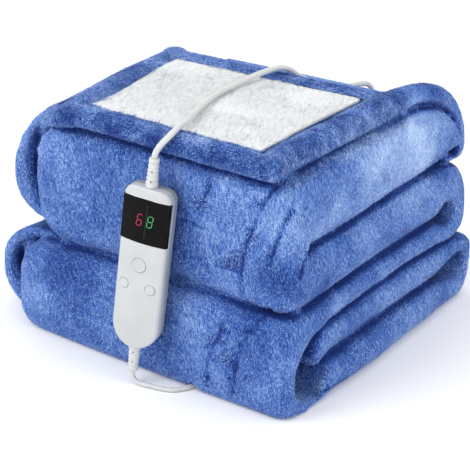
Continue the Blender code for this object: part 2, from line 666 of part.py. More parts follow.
def controller_outline(inset):
    """The controller's outline: rounded corners above, a half round below."""
    half, top = 0.5 * CTRL_WIDTH - inset, 0.5 * CTRL_LENGTH - inset
    corner = max(CTRL_TOP_RADIUS - inset, 0.0005)
    points = []
    for angle in np.radians(np.linspace(0.0, 90.0, 6)):
        points.append((half - corner + corner * math.cos(angle), top - corner + corner * math.sin(angle)))
    for angle in np.radians(np.linspace(90.0, 180.0, 6)):
        points.append((-half + corner + corner * math.cos(angle), top - corner + corner * math.sin(angle)))
    base = -0.5 * CTRL_LENGTH + 0.5 * CTRL_WIDTH
    for angle in np.radians(np.linspace(180.0, 360.0, 17)):
        points.append((half * math.cos(angle), base + half * math.sin(angle)))
    return points


def circle(radius, z, sides):
    """A ring of points round the Z axis."""
    return [(radius * math.cos(a), radius * math.sin(a), z)
            for a in np.linspace(0.0, 2.0 * math.pi, sides, endpoint=False)]


def loft(name, rings, finish, place):
    """A closed solid through rings of points with the same count, capped at both ends."""
    bm = bmesh.new()
    loops = [[bm.verts.new(p) for p in ring] for ring in rings]
    count = len(rings[0])
    for lower, upper in zip(loops, loops[1:]):
        for i in range(count):
            j = (i + 1) % count
            bm.faces.new((lower[i], lower[j], upper[j], upper[i]))
    bm.faces.new(list(reversed(loops[0])))
    bm.faces.new(loops[-1])
    bmesh.ops.transform(bm, matrix=place, verts=bm.verts)
    mesh = mesh_from_bmesh(name, bm)
    smooth(mesh)
    return add_object(name, mesh, finish)


def crowned_rings(insets, low, rounding):
    """Rings from a flat lower face up over a rounded edge onto the crowned face."""
    rings = [[(u, v, low) for u, v in controller_outline(0.0)]]
    for angle in np.radians((0.0, 30.0, 60.0, 90.0)):
        inset = rounding * (1.0 - math.cos(angle))
        drop = rounding * (1.0 - math.sin(angle))
        rings.append([(u, v, crown(u) - drop) for u, v in controller_outline(inset)])
    for inset in insets:
        rings.append([(u, v, crown(u)) for u, v in controller_outline(inset)])
    return rings


def controller_shells(finish, place):
    """The two moulded shells; the front one has the window's seat and the buttons' wells."""
    rounding = CTRL_EDGE
    rings = []
    for angle in np.radians((0.0, 30.0, 60.0, 90.0)):
        inset = rounding * (1.0 - math.sin(angle))
        rings.append([(u, v, rounding * (1.0 - math.cos(angle))) for u, v in controller_outline(inset)])
    rings.append([(u, v, CTRL_SPLIT) for u, v in controller_outline(0.0)])
    loft("controller_back", rings, finish, place)

    rings = crowned_rings((0.0060, 0.0110, 0.0160, 0.0200), CTRL_SPLIT + SEAT, rounding)
    front = loft("controller_front", rings, finish, place)
    bm = bmesh.new()
    size = (CTRL_WIDTH + 0.010, WINDOW["length"] + 2.0 * SEAT, 2.0 * WINDOW["seat"], 1.0)
    bmesh.ops.create_cube(bm, size=1.0, matrix=place @ Matrix.Translation((0.0, WINDOW["v"], CTRL_DEPTH))
                          @ Matrix.Diagonal(size))
    seat = add_object("seat", mesh_from_bmesh("seat", bm), None)
    combine(front, seat, "DIFFERENCE")
    for row in BUTTONS.values():
        bm = bmesh.new()
        radius = row["radius"] + BUTTON_GAP
        bmesh.ops.create_cone(bm, cap_ends=True, segments=28, radius1=radius, radius2=radius,
                              depth=WELL_DEPTH + 0.004,
                              matrix=button_frame(row) @ Matrix.Translation(
                                  (0.0, 0.0, 0.5 * (0.004 - WELL_DEPTH))))
        bmesh.ops.transform(bm, matrix=place, verts=bm.verts)
        well = add_object("well", mesh_from_bmesh("well", bm), None)
        combine(front, well, "DIFFERENCE")
    front.data.materials.clear()
    front.data.materials.append(finish)
    smooth(front.data)


def display_window(finish, place):
    """The dark window, a curved plate that fills its seat flush with the face."""
    half = 0.5 * CTRL_WIDTH - 0.0002
    low = CTRL_DEPTH - WINDOW["seat"] + SEAT
    columns = np.linspace(-half, half, 13)
    bm = bmesh.new()
    rows = []
    for v in (WINDOW["v"] - 0.5 * WINDOW["length"], WINDOW["v"] + 0.5 * WINDOW["length"]):
        under = [bm.verts.new((u, v, low)) for u in columns]
        over = [bm.verts.new((u, v, crown(u) - 0.0001)) for u in columns]
        rows.append(under + list(reversed(over)))
    count = len(rows[0])
    for i in range(count):
        j = (i + 1) % count
        bm.faces.new((rows[0][i], rows[0][j], rows[1][j], rows[1][i]))
    bm.faces.new(rows[0])
    bm.faces.new(list(reversed(rows[1])))
    bmesh.ops.transform(bm, matrix=place, verts=bm.verts)
    mesh = mesh_from_bmesh("display_window", bm)
    smooth(mesh)
    add_object("display_window", mesh, finish)


def button_frame(row):
    """A button's own axes on the crowned face: Z is its axis, the origin is on the face."""
    lean = math.asin(row["u"] / CTRL_CROWN_RADIUS)
    return Matrix.Translation((row["u"], row["v"], crown(row["u"]))) @ Matrix.Rotation(lean, 4, "Y")


def buttons(finish, place):
    """Round keys that press straight in, each in its own well."""
    for name, row in BUTTONS.items():
        radius, edge = row["radius"], 0.0006
        profile = [(radius, BUTTON_PROUD - BUTTON_HEIGHT), (radius, BUTTON_PROUD - edge),
                   (radius - 0.4 * edge, BUTTON_PROUD - 0.25 * edge), (radius - edge, BUTTON_PROUD)]
        rings = [circle(r, z, 28) for r, z in profile]
        loft(name, rings, finish, place @ button_frame(row))


def relief_rings(length, root, tip):
    """A tapered, ribbed sleeve from z = 0 to its length."""
    ribs = RELIEF["ribs"]
    stations = [(0.0, root)]
    for i in range(ribs):
        start = length * (0.16 + 0.72 * i / ribs)
        pitch = length * 0.72 / ribs
        for share, dip in ((0.0, 0.0), (0.28, RELIEF["groove"]), (0.55, RELIEF["groove"]), (0.83, 0.0)):
            z = start + pitch * share
            stations.append((z, root + (tip - root) * z / length - dip))
    stations += [(length - 0.0008, tip), (length, tip - 0.0006)]
    return [circle(radius, z, 14) for z, radius in stations]


def relief_frame(end):
    """Axes of a strain relief: Z points away from the controller at its upper or lower end."""
    gap = 0.5 * CTRL_LENGTH + SEAT
    if end == "upper":
        return Matrix.Translation((0.0, gap, RELIEF_N)) @ Matrix.Rotation(-0.5 * math.pi, 4, "X")
    return Matrix.Translation((0.0, -gap, RELIEF_N)) @ Matrix.Rotation(0.5 * math.pi, 4, "X")


def reliefs(finish, place):
    for end in ("upper", "lower"):
        rings = relief_rings(RELIEF["length"], RELIEF["root"], RELIEF["tip"])
        loft("strain_relief_" + end, rings, finish, place @ relief_frame(end))


# ---------------------------------------------------------------- leads, coil and plug
def smooth_route(points, spacing):
    """Points at an even spacing on a smooth curve through the route's own points."""
    route = [Vector(p) for p in points]
    padded = [2.0 * route[0] - route[1]] + route + [2.0 * route[-1] - route[-2]]
    fine = []
    for p0, p1, p2, p3 in zip(padded, padded[1:], padded[2:], padded[3:]):
        for i in range(24):
            t = i / 24.0
            fine.append(0.5 * (2.0 * p1 + (p2 - p0) * t + (2.0 * p0 - 5.0 * p1 + 4.0 * p2 - p3) * t ** 2
                               + (3.0 * p1 - p0 - 3.0 * p2 + p3) * t ** 3))
    fine.append(route[-1])
    lengths = [0.0]
    for a, b in zip(fine, fine[1:]):
        lengths.append(lengths[-1] + (b - a).length)
    count = max(int(round(lengths[-1] / spacing)), 2)
    made, k = [], 0
    for i in range(count + 1):
        want = lengths[-1] * i / count
        while k < len(lengths) - 2 and lengths[k + 1] < want:
            k += 1
        share = (want - lengths[k]) / max(lengths[k + 1] - lengths[k], 1e-9)
        made.append(fine[k].lerp(fine[k + 1], share))
    return made


def tube(name, points, diameter, resolution, finish):
    curve = bpy.data.curves.new(name, "CURVE")
    curve.dimensions = "3D"
    curve.bevel_depth = 0.5 * diameter
    curve.bevel_resolution = resolution
    curve.use_fill_caps = True
    spline = curve.splines.new("POLY")
    spline.points.add(len(points) - 1)
    for point, place in zip(spline.points, points):
        point.co = (*place, 1.0)
    return add_object(name, curve, finish)


def relief_exit(place, end):
    """Where a lead leaves its strain relief, and the direction it leaves in."""
    frame = place @ relief_frame(end)
    axis = (frame.to_3x3() @ Vector((0.0, 0.0, 1.0))).normalized()
    return frame @ Vector((0.0, 0.0, RELIEF["length"] + SEAT)), axis


def lead_from(exit_point, axis, route, spacing):
    """A route's points with a short straight start out of its strain relief."""
    points = smooth_route([exit_point, exit_point + axis * LEAD_START] + [Vector(p) for p in route], spacing)
    points.insert(1, exit_point + axis * 0.4 * LEAD_START)
    return points


def leads(finish, place):
    points = lead_from(*relief_exit(place, "upper"), MAINS_ROUTE, 1.6 * LEAD_DIAMETER)
    tube("mains_lead", points, LEAD_DIAMETER, 2, finish)
    tucked = (GROOVE["x"], GROOVE["y_end"] - SEAT, LOWER_ROUTE[-1][2])
    points = lead_from(*relief_exit(place, "lower"), LOWER_ROUTE + (tucked,), 1.5 * LOWER_LEAD_DIAMETER)
    tube("lower_lead", points, LOWER_LEAD_DIAMETER, 2, finish)
    points = smooth_route(TAIL_ROUTE, 1.6 * LEAD_DIAMETER)
    end = points[-1]
    points.insert(-1, end + Vector((0.0, 0.4 * LEAD_START, 0.0)))
    tube("lead_tail", points, LEAD_DIAMETER, 2, finish)


def lead_coil(finish):
    """The wound length of the lead as one turned ring."""
    bm = bmesh.new()
    wide, high, corner = 0.5 * COIL["wide"], COIL["high"], COIL["corner"]
    profile = [(-wide, corner), (-wide + corner, 0.0), (wide - corner, 0.0), (wide, corner),
               (wide, high - corner), (wide - corner, high), (-wide + corner, high), (-wide, high - corner)]
    sides = 40
    rings = []
    for angle in np.linspace(0.0, 2.0 * math.pi, sides, endpoint=False):
        cosine, sine = math.cos(angle), math.sin(angle)
        rings.append([bm.verts.new((COIL["centre"][0] + (COIL["radius"] + r) * cosine,
                                    COIL["centre"][1] + (COIL["radius"] + r) * sine, z + COIL["lift"]))
                      for r, z in profile])
    for i in range(sides):
        here, after = rings[i], rings[(i + 1) % sides]
        for a in range(len(profile)):
            b = (a + 1) % len(profile)
            bm.faces.new((here[a], here[b], after[b], after[a]))
    mesh = mesh_from_bmesh("lead_coil", bm)
    smooth(mesh)
    add_object("lead_coil", mesh, finish)


def plug(finish, metal):
    """A flat two-pin plug that lies on the surface, its pins 0.3 mm off its face."""
    stand = Matrix(((1, 0, 0, 0), (0, 0, 1, 0), (0, 1, 0, 0), (0, 0, 0, 1)))
    place = Matrix.Translation(PLUG["face"]) @ stand
    rings = []
    for along, half_wide, half_high in PLUG_STATIONS:
        ring = []
        for a in np.linspace(0.0, 2.0 * math.pi, 20, endpoint=False):
            blunt = 0.55 + 0.45 * step(0.018, 0.028, along)
            side = math.copysign(abs(math.cos(a)) ** blunt, math.cos(a))
            up = math.copysign(abs(math.sin(a)) ** blunt, math.sin(a))
            ring.append((half_wide * side, half_high * up, along))
        rings.append(ring)
    loft("plug_body", rings, finish, place)
    for name, side in (("plug_pin_left", -0.5), ("plug_pin_right", 0.5)):
        radius, length = PLUG["pin_radius"], PLUG["pin_length"]
        rings = [circle(radius - 0.0006, -length, 12), circle(radius, 0.0006 - length, 12),
                 circle(radius, 0.0, 12)]
        loft(name, rings, metal, place @ Matrix.Translation((side * PLUG["pin_apart"], 0.0, -SEAT)))


# ---------------------------------------------------------------- the whole object
def build():
    clear_scene()
    fleece = material("fleece", FLEECE_BLUE, 0.85)
    sherpa = material("sherpa", SHERPA_WHITE, 0.95)
    shell = material("moulded_shell", SHELL_WHITE, 0.38)
    window = material("smoked_window", WINDOW_BLACK, 0.12)
    lead = material("lead_sheath", LEAD_WHITE, 0.50)
    blanket(fleece)
    sherpa_panel(sherpa)
    place = controller_frame()
    controller_shells(shell, place)
    display_window(window, place)
    buttons(shell, place)
    reliefs(lead, place)
    leads(lead, place)
    lead_coil(lead)
    plug(lead, material("pin_metal", PIN_METAL, 0.30, metallic=1.0))
    for made in bpy.data.objects:
        made.data.transform(Matrix.Translation(ORIGIN_SHIFT))
    bpy.context.view_layer.update()


build()
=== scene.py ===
"""Looks of a folded electric heated blanket: brushed flannel fleece, a sherpa field in a rolled hem,
a moulded hand controller and its leads.  Metres, +Z up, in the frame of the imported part."""
import math

import bmesh
import bpy
import numpy as np
from mathutils import Matrix, Vector
from mathutils.bvhtree import BVHTree
from mathutils.kdtree import KDTree


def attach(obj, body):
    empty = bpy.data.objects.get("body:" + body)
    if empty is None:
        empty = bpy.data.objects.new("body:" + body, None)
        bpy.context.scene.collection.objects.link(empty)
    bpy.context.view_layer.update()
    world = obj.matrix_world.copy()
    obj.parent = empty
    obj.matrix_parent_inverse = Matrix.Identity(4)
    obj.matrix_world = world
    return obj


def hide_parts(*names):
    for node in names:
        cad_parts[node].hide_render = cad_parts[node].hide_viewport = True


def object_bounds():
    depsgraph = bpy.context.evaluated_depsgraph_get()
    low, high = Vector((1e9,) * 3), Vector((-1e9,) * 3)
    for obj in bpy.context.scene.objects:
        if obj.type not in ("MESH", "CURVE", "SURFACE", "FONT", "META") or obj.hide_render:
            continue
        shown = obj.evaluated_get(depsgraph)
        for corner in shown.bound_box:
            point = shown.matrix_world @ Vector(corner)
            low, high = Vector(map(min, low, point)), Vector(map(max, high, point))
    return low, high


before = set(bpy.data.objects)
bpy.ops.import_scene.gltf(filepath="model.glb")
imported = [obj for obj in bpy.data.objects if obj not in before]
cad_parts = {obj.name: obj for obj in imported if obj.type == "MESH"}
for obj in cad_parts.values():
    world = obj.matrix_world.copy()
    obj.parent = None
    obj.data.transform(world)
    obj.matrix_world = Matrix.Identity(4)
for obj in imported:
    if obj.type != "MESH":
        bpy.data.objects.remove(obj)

MM = 0.001
CAD_BOX = [list(corner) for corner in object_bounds()]
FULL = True
ORIGIN = Vector((0.0052, 0.0076, 0.0))  # from the stack's own layout to the part's origin


# ---- camera
CAMERA_PLACE = (0.68629, -0.92372, 0.59333)
CAMERA_AZIMUTH = math.radians(36.2)
CAMERA_ELEVATION = math.radians(24.4)
CAMERA_FOCAL = 1400.0  # in picture widths of 470
PICTURE_WIDTH = 470.0
SENSOR = 36.0


def camera():
    """A long lens that looks down on the stack's front right corner."""
    level, tilt = math.cos(CAMERA_ELEVATION), math.sin(CAMERA_ELEVATION)
    right = Vector((math.cos(CAMERA_AZIMUTH), math.sin(CAMERA_AZIMUTH), 0.0))
    back = Vector((math.sin(CAMERA_AZIMUTH) * level, -math.cos(CAMERA_AZIMUTH) * level, tilt))
    up = back.cross(right)
    data = bpy.data.cameras.new("camera")
    data.sensor_width = SENSOR
    data.lens = SENSOR * CAMERA_FOCAL / PICTURE_WIDTH
    data.clip_start, data.clip_end = 0.05, 20.0
    made = place_object("camera", data)
    made.matrix_world = Matrix.Translation(CAMERA_PLACE) @ Matrix((right, up, back)).transposed().to_4x4()
    bpy.context.scene.camera = made


# ---- small tools
def linear(code):
    """An sRGB hex value such as "5A7DD2" as linear red, green, blue and alpha."""
    made = []
    for i in (0, 2, 4):
        share = int(code[i:i + 2], 16) / 255.0
        made.append(share / 12.92 if share <= 0.04045 else ((share + 0.055) / 1.055) ** 2.4)
    return (*made, 1.0)


def add(tree, kind, inputs=None, **settings):
    """Adds one node; an input is set to a value, or linked if it is given another node's output."""
    made = tree.nodes.new("ShaderNode" + kind)
    for name, value in settings.items():
        setattr(made, name, value)
    for name, value in (inputs or {}).items():
        if isinstance(value, bpy.types.NodeSocket):
            tree.links.new(value, made.inputs[name])
        else:
            made.inputs[name].default_value = value
    return made


def finish(name, **sockets):
    """A material with a Principled shader, its constant sockets set; returns it, its tree and shader."""
    made = bpy.data.materials.new(name)
    made.use_nodes = True
    tree = made.node_tree
    shader = tree.nodes["Principled BSDF"]
    for socket, value in sockets.items():
        shader.inputs[socket.replace("_", " ")].default_value = value
    return made, tree, shader


def ramp(tree, factor, stops):
    """A colour ramp through (position, sRGB hex) stops."""
    made = add(tree, "ValToRGB", {"Fac": factor})
    elements = made.color_ramp.elements
    while len(elements) < len(stops):
        elements.new(0.5)
    for element, (position, code) in zip(elements, stops):
        element.position = position
        element.color = linear(code)
    return made.outputs["Color"]


def place_object(name, data, *finishes):
    made = bpy.data.objects.new(name, data)
    bpy.context.scene.collection.objects.link(made)
    for item in finishes:
        data.materials.append(item)
    return made


def mesh_of(name, points, faces, smooth=True):
    made = bpy.data.meshes.new(name)
    made.from_pydata([tuple(p) for p in points], [], faces)
    made.update()
    if smooth:
        made.shade_smooth()
    return made


def tenths(*points):
    """Points given in tenths of a millimetre, in metres."""
    return [tuple(value / 10000.0 for value in point) for point in points]


def belong(made, slot, *nodes):
    """Says which body a piece rides and which nodes of the part it stands for; its slot is not used."""
    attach(made, "blanket")
    if nodes:
        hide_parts(*nodes)
    return made


def built(bm, name):
    """A bmesh as a mesh."""
    made = bpy.data.meshes.new(name)
    bm.to_mesh(made)
    bm.free()
    return made


def beads(name, places, segments, slot, material):
    """Small balls in one mesh, each stretched by its own matrix."""
    bm = bmesh.new()
    for place in places:
        bmesh.ops.create_uvsphere(bm, u_segments=segments[0], v_segments=segments[1], radius=1.0,
                                  matrix=place)
    mesh = built(bm, name)
    mesh.shade_smooth()
    belong(place_object(name, mesh, material), slot)


def dress(mesh, material):
    """Gives a mesh one material in place of its own."""
    mesh.materials.clear()
    mesh.materials.append(material)


def unit(ways):
    """Directions at a length of 1."""
    return ways / np.maximum(np.linalg.norm(ways, axis=1), 1e-9)[:, None]


def laid_down(ways, normals):
    """Directions turned into the surface, at a length of 1."""
    return unit(ways - normals * (ways * normals).sum(axis=1)[:, None])


def points_of(mesh):
    """Vertex places and normals as arrays."""
    count = len(mesh.vertices)
    places, normals = np.zeros(count * 3), np.zeros(count * 3)
    mesh.vertices.foreach_get("co", places)
    mesh.vertex_normals.foreach_get("vector", normals)
    return places.reshape(-1, 3), normals.reshape(-1, 3)


def set_points(mesh, places):
    mesh.vertices.foreach_set("co", places.ravel())
    mesh.update()


def voxels(target, cell):
    """Rebuilds an object's mesh in cells of that size, once it is evaluated."""
    cells = target.modifiers.new("cells", "REMESH")
    cells.mode = "VOXEL"
    cells.voxel_size = cell


def evaluated(target):
    """Applies an object's modifiers to its mesh."""
    graph = bpy.context.evaluated_depsgraph_get()
    graph.update()
    mesh = bpy.data.meshes.new_from_object(target.evaluated_get(graph))
    target.modifiers.clear()
    target.data = mesh


def step(low, high, value):
    """Goes smoothly from 0 at low to 1 at high."""
    share = np.clip((value - low) / (high - low), 0.0, 1.0)
    return share * share * (3.0 - 2.0 * share)


LATTICE = np.random.default_rng(7).uniform(-1.0, 1.0, (32, 32, 32))


def waves(points, size, offset=0.0):
    """Smooth uneven values from -1 to 1 at points, with features of that size in metres."""
    scaled = points / size + offset * 7.31 + 100.0
    base = np.floor(scaled).astype(int)
    share = scaled - base
    share = share * share * (3.0 - 2.0 * share)
    total = np.zeros(len(points))
    for corner in range(8):
        bits = np.array([(corner >> k) & 1 for k in range(3)])
        weight = np.prod(np.where(bits, share, 1.0 - share), axis=1)
        i, j, k = ((base + bits) % len(LATTICE)).T
        total += weight * LATTICE[i, j, k]
    return total


# ---- leads
LEAD_DIAMETER = 5.0 * MM
LOWER_LEAD_DIAMETER = 4.0 * MM
RELIEF_LENGTH = 24.0 * MM
RELIEF_SEAT = 0.3 * MM
# The leads' courses, in the stack's own layout.
MAINS_ROUTE = tenths(
    (386, -1556, 2078), (410, -1543, 2120), (440, -1523, 2163), (466, -1492, 2200), (479, -1445, 2232),
    (473, -1368, 2250), (443, -1262, 2251), (392, -1115, 2248), (338, -968, 2245), (293, -830, 2243),
    (255, -691, 2241), (222, -540, 2239), (202, -371, 2238), (195, -174, 2240), (212, -22, 2250),
    (246, 125, 2262), (290, 262, 2264), (328, 350, 2232), (358, 410, 2180), (392, 490, 2122),
    (440, 620, 2049), (485, 820, 1974), (510, 1050, 1932), (515, 1270, 1896), (508, 1400, 1848),
    (495, 1485, 1762), (472, 1525, 1630), (440, 1531, 1480), (405, 1529, 1300), (365, 1529, 1100),
    (330, 1533, 900), (300, 1548, 700), (290, 1584, 590), (276, 1617, 480), (255, 1624, 340),
    (215, 1650, 200), (150, 1690, 105), (50, 1732, 50), (-70, 1756, 30), (-250, 1763, 28), (-450, 1763, 28)
)
LOWER_ROUTE = tenths(
    (167, -1668, 64), (197, -1668, 34), (240, -1664, 23), (300, -1652, 23), (375, -1636, 23),
    (449, -1618, 23), (525, -1581, 23), (572, -1524, 23), (602, -1460, 23), (616, -1380, 23),
    (620, -1300, 23), (620, -1123, 23)
)
TAIL_ROUTE = tenths(
    (-883, 2140, 28), (-883, 2240, 28), (-943, 2391, 28), (-1095, 2455, 32), (-1200, 2428, 40),
    (-1268, 2360, 53), (-1303, 2280, 67), (-1310, 2194, 73)
)
LEAD_START = 2.0 * MM
COIL_CENTRE = Vector((-0.0500, 0.2140, 0.0))
COIL_RADIUS = 27.5 * MM
COIL_PITCH = 5.1 * MM  # between turns that lie beside or on each other
COIL_FLOOR = 2.6 * MM  # height of the lowest turn's middle
# Where each turn lies in the coil's section, in pitches: outwards from the middle, and up.
COIL_TURNS = ((1, 0), (0, 0), (-1, 0), (-1, 1), (0, 1), (1, 1), (1, 2))
COIL_STEPS = 30  # points in one turn

# The controller's own axes: u to the right, v up along it, n out of its face.
CONTROLLER_CENTRE = (0.0301, -0.1454, 0.1073)
CONTROLLER_TURNS = ((12.0, "Z"), (6.8, "Y"), (-1.7, "X"))
CONTROLLER_LENGTH = 142.3 * MM
CONTROLLER_WIDTH = 41.3 * MM
CONTROLLER_DEPTH = 16.5 * MM
CROWN_RADIUS = 85.0 * MM
RELIEF_HEIGHT = 8.5 * MM


def controller_place():
    """The matrix that brings u, v and n to their place on the stack."""
    turn = Matrix.Identity(4)
    for angle, axis in CONTROLLER_TURNS:
        turn = turn @ Matrix.Rotation(math.radians(angle), 4, axis)
    stand = Matrix(((1, 0, 0, 0), (0, 0, -1, 0), (0, 1, 0, 0), (0, 0, 0, 1)))
    return Matrix.Translation(CONTROLLER_CENTRE) @ turn @ stand


def crown(u):
    """Height of the controller's face above its back, across its width."""
    return CONTROLLER_DEPTH - (CROWN_RADIUS - math.sqrt(CROWN_RADIUS ** 2 - u * u))


def relief_exit(side):
    """Where a lead leaves its strain relief, and its direction: side is 1 above and -1 below."""
    place = controller_place()
    reach = 0.5 * CONTROLLER_LENGTH + RELIEF_SEAT + RELIEF_LENGTH + RELIEF_SEAT
    axis = (place.to_3x3() @ Vector((0.0, side, 0.0))).normalized()
    return place @ Vector((0.0, side * reach, RELIEF_HEIGHT)), axis


def smooth_route(points, spacing):
    """Evenly spaced points on a smooth curve through a route's own points."""
    route = [Vector(p) for p in points]
    padded = [2.0 * route[0] - route[1]] + route + [2.0 * route[-1] - route[-2]]
    fine = []
    for p0, p1, p2, p3 in zip(padded, padded[1:], padded[2:], padded[3:]):
        for i in range(24):
            t = i / 24.0
            fine.append(0.5 * (2.0 * p1 + (p2 - p0) * t + (2.0 * p0 - 5.0 * p1 + 4.0 * p2 - p3) * t ** 2
                               + (3.0 * p1 - p0 - 3.0 * p2 + p3) * t ** 3))
    fine.append(route[-1])
    lengths = [0.0]
    for a, b in zip(fine, fine[1:]):
        lengths.append(lengths[-1] + (b - a).length)
    count = max(int(round(lengths[-1] / spacing)), 2)
    made, k = [], 0
    for i in range(count + 1):
        want = lengths[-1] * i / count
        while k < len(lengths) - 2 and lengths[k + 1] < want:
            k += 1
        share = (want - lengths[k]) / max(lengths[k + 1] - lengths[k], 1e-9)
        made.append(fine[k].lerp(fine[k + 1], share))
    return made


def on_coil(angle, radius, height):
    return COIL_CENTRE + Vector((radius * math.cos(angle), radius * math.sin(angle), height))


def coil_points():
    """The wound turns: clockwise from the front, one slot of the section for each turn."""
    made = []
    turns = len(COIL_TURNS)
    for i in range(1, int(COIL_STEPS * (turns - 0.02))):
        at = i / COIL_STEPS
        turn, share = int(at), at - int(at)
        here = COIL_TURNS[turn]
        after = COIL_TURNS[min(turn + 1, turns - 1)]
        change = float(step(0.75, 1.0, share))
        out = here[0] + (after[0] - here[0]) * change
        up = here[1] + (after[1] - here[1]) * change
        start = 0.9 * (1.0 - float(step(0.0, 0.12, at)))
        made.append(on_coil(-0.5 * math.pi - 2.0 * math.pi * at, COIL_RADIUS + (out + start) * COIL_PITCH,
                            COIL_FLOOR + up * COIL_PITCH))
    return made


def coil_exit():
    """The last quarter turn, over the lead that comes in and down to the surface."""
    made = []
    for share in (0.12, 0.34, 0.56, 0.78):
        height = COIL_FLOOR + COIL_PITCH * 2.0 * (1.0 - float(step(0.25, 1.0, share)))
        made.append(on_coil(-0.5 * math.pi * (1.0 + share), COIL_RADIUS + COIL_PITCH * (1.0 + 1.12 * share),
                            height))
    return made


def lead_curve(name, points, diameter):
    data = bpy.data.curves.new(name, "CURVE")
    data.dimensions = "3D"
    data.bevel_depth = 0.5 * diameter
    data.bevel_resolution = 4
    data.use_fill_caps = True
    spline = data.splines.new("POLY")
    spline.points.add(len(points) - 1)
    for point, place in zip(spline.points, points):
        point.co = (*place, 1.0)
    spline.use_smooth = True
    return data


def lead(name, side, route, spacing, diameter, sheath, *nodes):
    """A lead out of one strain relief and along a route; returns it, its start and its middle line."""
    start, axis = relief_exit(side)
    points = smooth_route([start, start + axis * LEAD_START] + [Vector(p) + ORIGIN for p in route], spacing)
    made = place_object(name, lead_curve(name, points, diameter), sheath)
    return belong(made, "lead_sheath", *nodes), tuple(start), points


def leads(sheath):
    """The mains lead from the controller to its plug, and the short lead into the blanket."""
    route = MAINS_ROUTE + coil_points() + coil_exit() + TAIL_ROUTE
    mains, start, points = lead("mains_flex", 1.0, route, 2.0 * MM, LEAD_DIAMETER, sheath,
                                "mains_lead", "lead_coil", "lead_tail")
    lower, low_start, low_points = lead("blanket_flex", -1.0, LOWER_ROUTE, 1.5 * MM, LOWER_LEAD_DIAMETER,
                                        sheath, "lower_lead")
    tie = coil_tie(sheath)
    return points


def coil_tie(sheath):
    """A flat strap of the sheath's plastic round the coil, opposite the side where the lead leaves."""
    middle = COIL_CENTRE + ORIGIN + Vector((COIL_RADIUS, 0.0, COIL_FLOOR + COIL_PITCH))
    wide, high, width, thick, clear = 8.6 * MM, 7.9 * MM, 5.0 * MM, 0.5 * MM, 0.1 * MM
    roundness, count = 0.5, 36
    points, faces = [], []
    for i in range(count):
        angle = 2.0 * math.pi * i / count
        cosine, sine = math.cos(angle), math.sin(angle)
        for grow in (0.0, thick):
            x = math.copysign(abs(cosine) ** roundness, cosine) * (wide + grow)
            z = math.copysign(abs(sine) ** roundness, sine) * (high + grow)
            z = max(z, -(COIL_FLOOR + COIL_PITCH) + clear + (0.0 if grow else thick))
            for side in (-0.5, 0.5):
                points.append(middle + Vector((x, side * width, z)))
        a, b = 4 * i, 4 * ((i + 1) % count)
        faces += [(a, a + 1, b + 1, b), (a + 2, b + 2, b + 3, a + 3), (a, b, b + 2, a + 2),
                  (a + 1, a + 3, b + 3, b + 1)]
    mesh = mesh_of("coil_tie", points, faces)
    mesh.set_sharp_from_angle(angle=math.radians(40.0))
    return belong(place_object("coil_tie", mesh, sheath), "lead_sheath")


# ---- finishes
def wire(tree, shader, ends):
    for socket, output in ends.items():
        tree.links.new(output, shader.inputs[socket])


def napped(name, turn, nap_and_shade, middle, grains, tones, bump, **sockets):
    """A pile's finish: the tone of its nap with its painted light and shade, so much of it about a middle,
    with grains of noise over it; bump is the last grain's strength and height."""
    made, tree, shader = finish(name, IOR=1.50, Specular_IOR_Level=0.20, **sockets)
    place = add(tree, "TexCoord").outputs["Object"]
    turned = add(tree, "Mapping", {"Vector": place, "Rotation": turn}).outputs["Vector"]
    shade = add(tree, "Attribute", attribute_name="nap_and_shade").outputs["Fac"]
    total = add(tree, "Math", {0: shade, 1: nap_and_shade, 2: middle}, operation="MULTIPLY_ADD").outputs[0]
    for size, detail, swirl, drawn, share in grains:
        place = add(tree, "Mapping", {"Vector": turned, "Scale": drawn}).outputs["Vector"]
        grain = add(tree, "TexNoise", {"Vector": place, "Scale": 1.0 / size, "Detail": detail,
                                       "Roughness": 0.6, "Distortion": swirl}).outputs["Fac"]
        centred = add(tree, "Math", {0: grain, 1: 0.5}, operation="SUBTRACT").outputs[0]
        total = add(tree, "Math", {0: centred, 1: share, 2: total}, operation="MULTIPLY_ADD").outputs[0]
    ends = {"Base Color": ramp(tree, total, tones)}
    if bump:
        raised = add(tree, "Bump", {"Height": grain, "Strength": bump[0], "Distance": bump[1]})
        ends["Normal"] = raised.outputs["Normal"]
    wire(tree, shader, ends)
    return made


# The fleece's tone, from the shadowed roots of its pile to the tips that catch the light.
FLEECE_TONES = ((0.00, "163077"), (0.25, "3F66B4"), (0.50, "7E9DD3"), (0.75, "AEC9F0"), (1.00, "D8E5FB"))
# Noises added to it: brushed patches, tufts and single clumps of fibres, each with its size, detail,
# swirl, how it is drawn out, and its share.
FLEECE_GRAINS = (
    (46.0 * MM, 2.0, 0.5, (1.0, 1.0, 0.80), 0.46),
    (7.0 * MM, 2.0, 0.6, (1.0, 1.0, 0.40), 0.24),
    (0.95 * MM, 1.0, 0.0, (1.0, 1.0, 0.20), 1.00),
)
SHERPA_TONES = ((0.00, "A8AEB3"), (0.28, "D8DBDD"), (0.50, "E3E6E7"), (0.85, "EDEFF0"))
SHERPA_GRAINS = ((3.2 * MM, 2.0, 0.3, (1.3, 0.4, 1.0), 1.00),)


def brushed_fleece(name, bump=None):
    """Polyester flannel fleece, knitted, brushed and sheared: a soft short pile whose nap lies in
    patches, lighter where it leans towards the light and deeper where it leans away."""
    return napped(name, (0.2, 0.4, 0.0), 1.0, 0.49, FLEECE_GRAINS, FLEECE_TONES, bump, Roughness=0.85,
                  Sheen_Weight=0.32, Sheen_Roughness=0.35, Sheen_Tint=linear("9CBEFF"))


def tumbled_sherpa(name, bump=None):
    """Polyester sherpa, tumbled into small curls: a near-white, matt pile with soft grey hollows of painted
    shade.
    """
    return napped(name, (0.0, 0.0, -0.47), 0.5, 0.5, SHERPA_GRAINS, SHERPA_TONES, bump, Roughness=0.90,
                  Sheen_Weight=0.20, Sheen_Roughness=0.5)


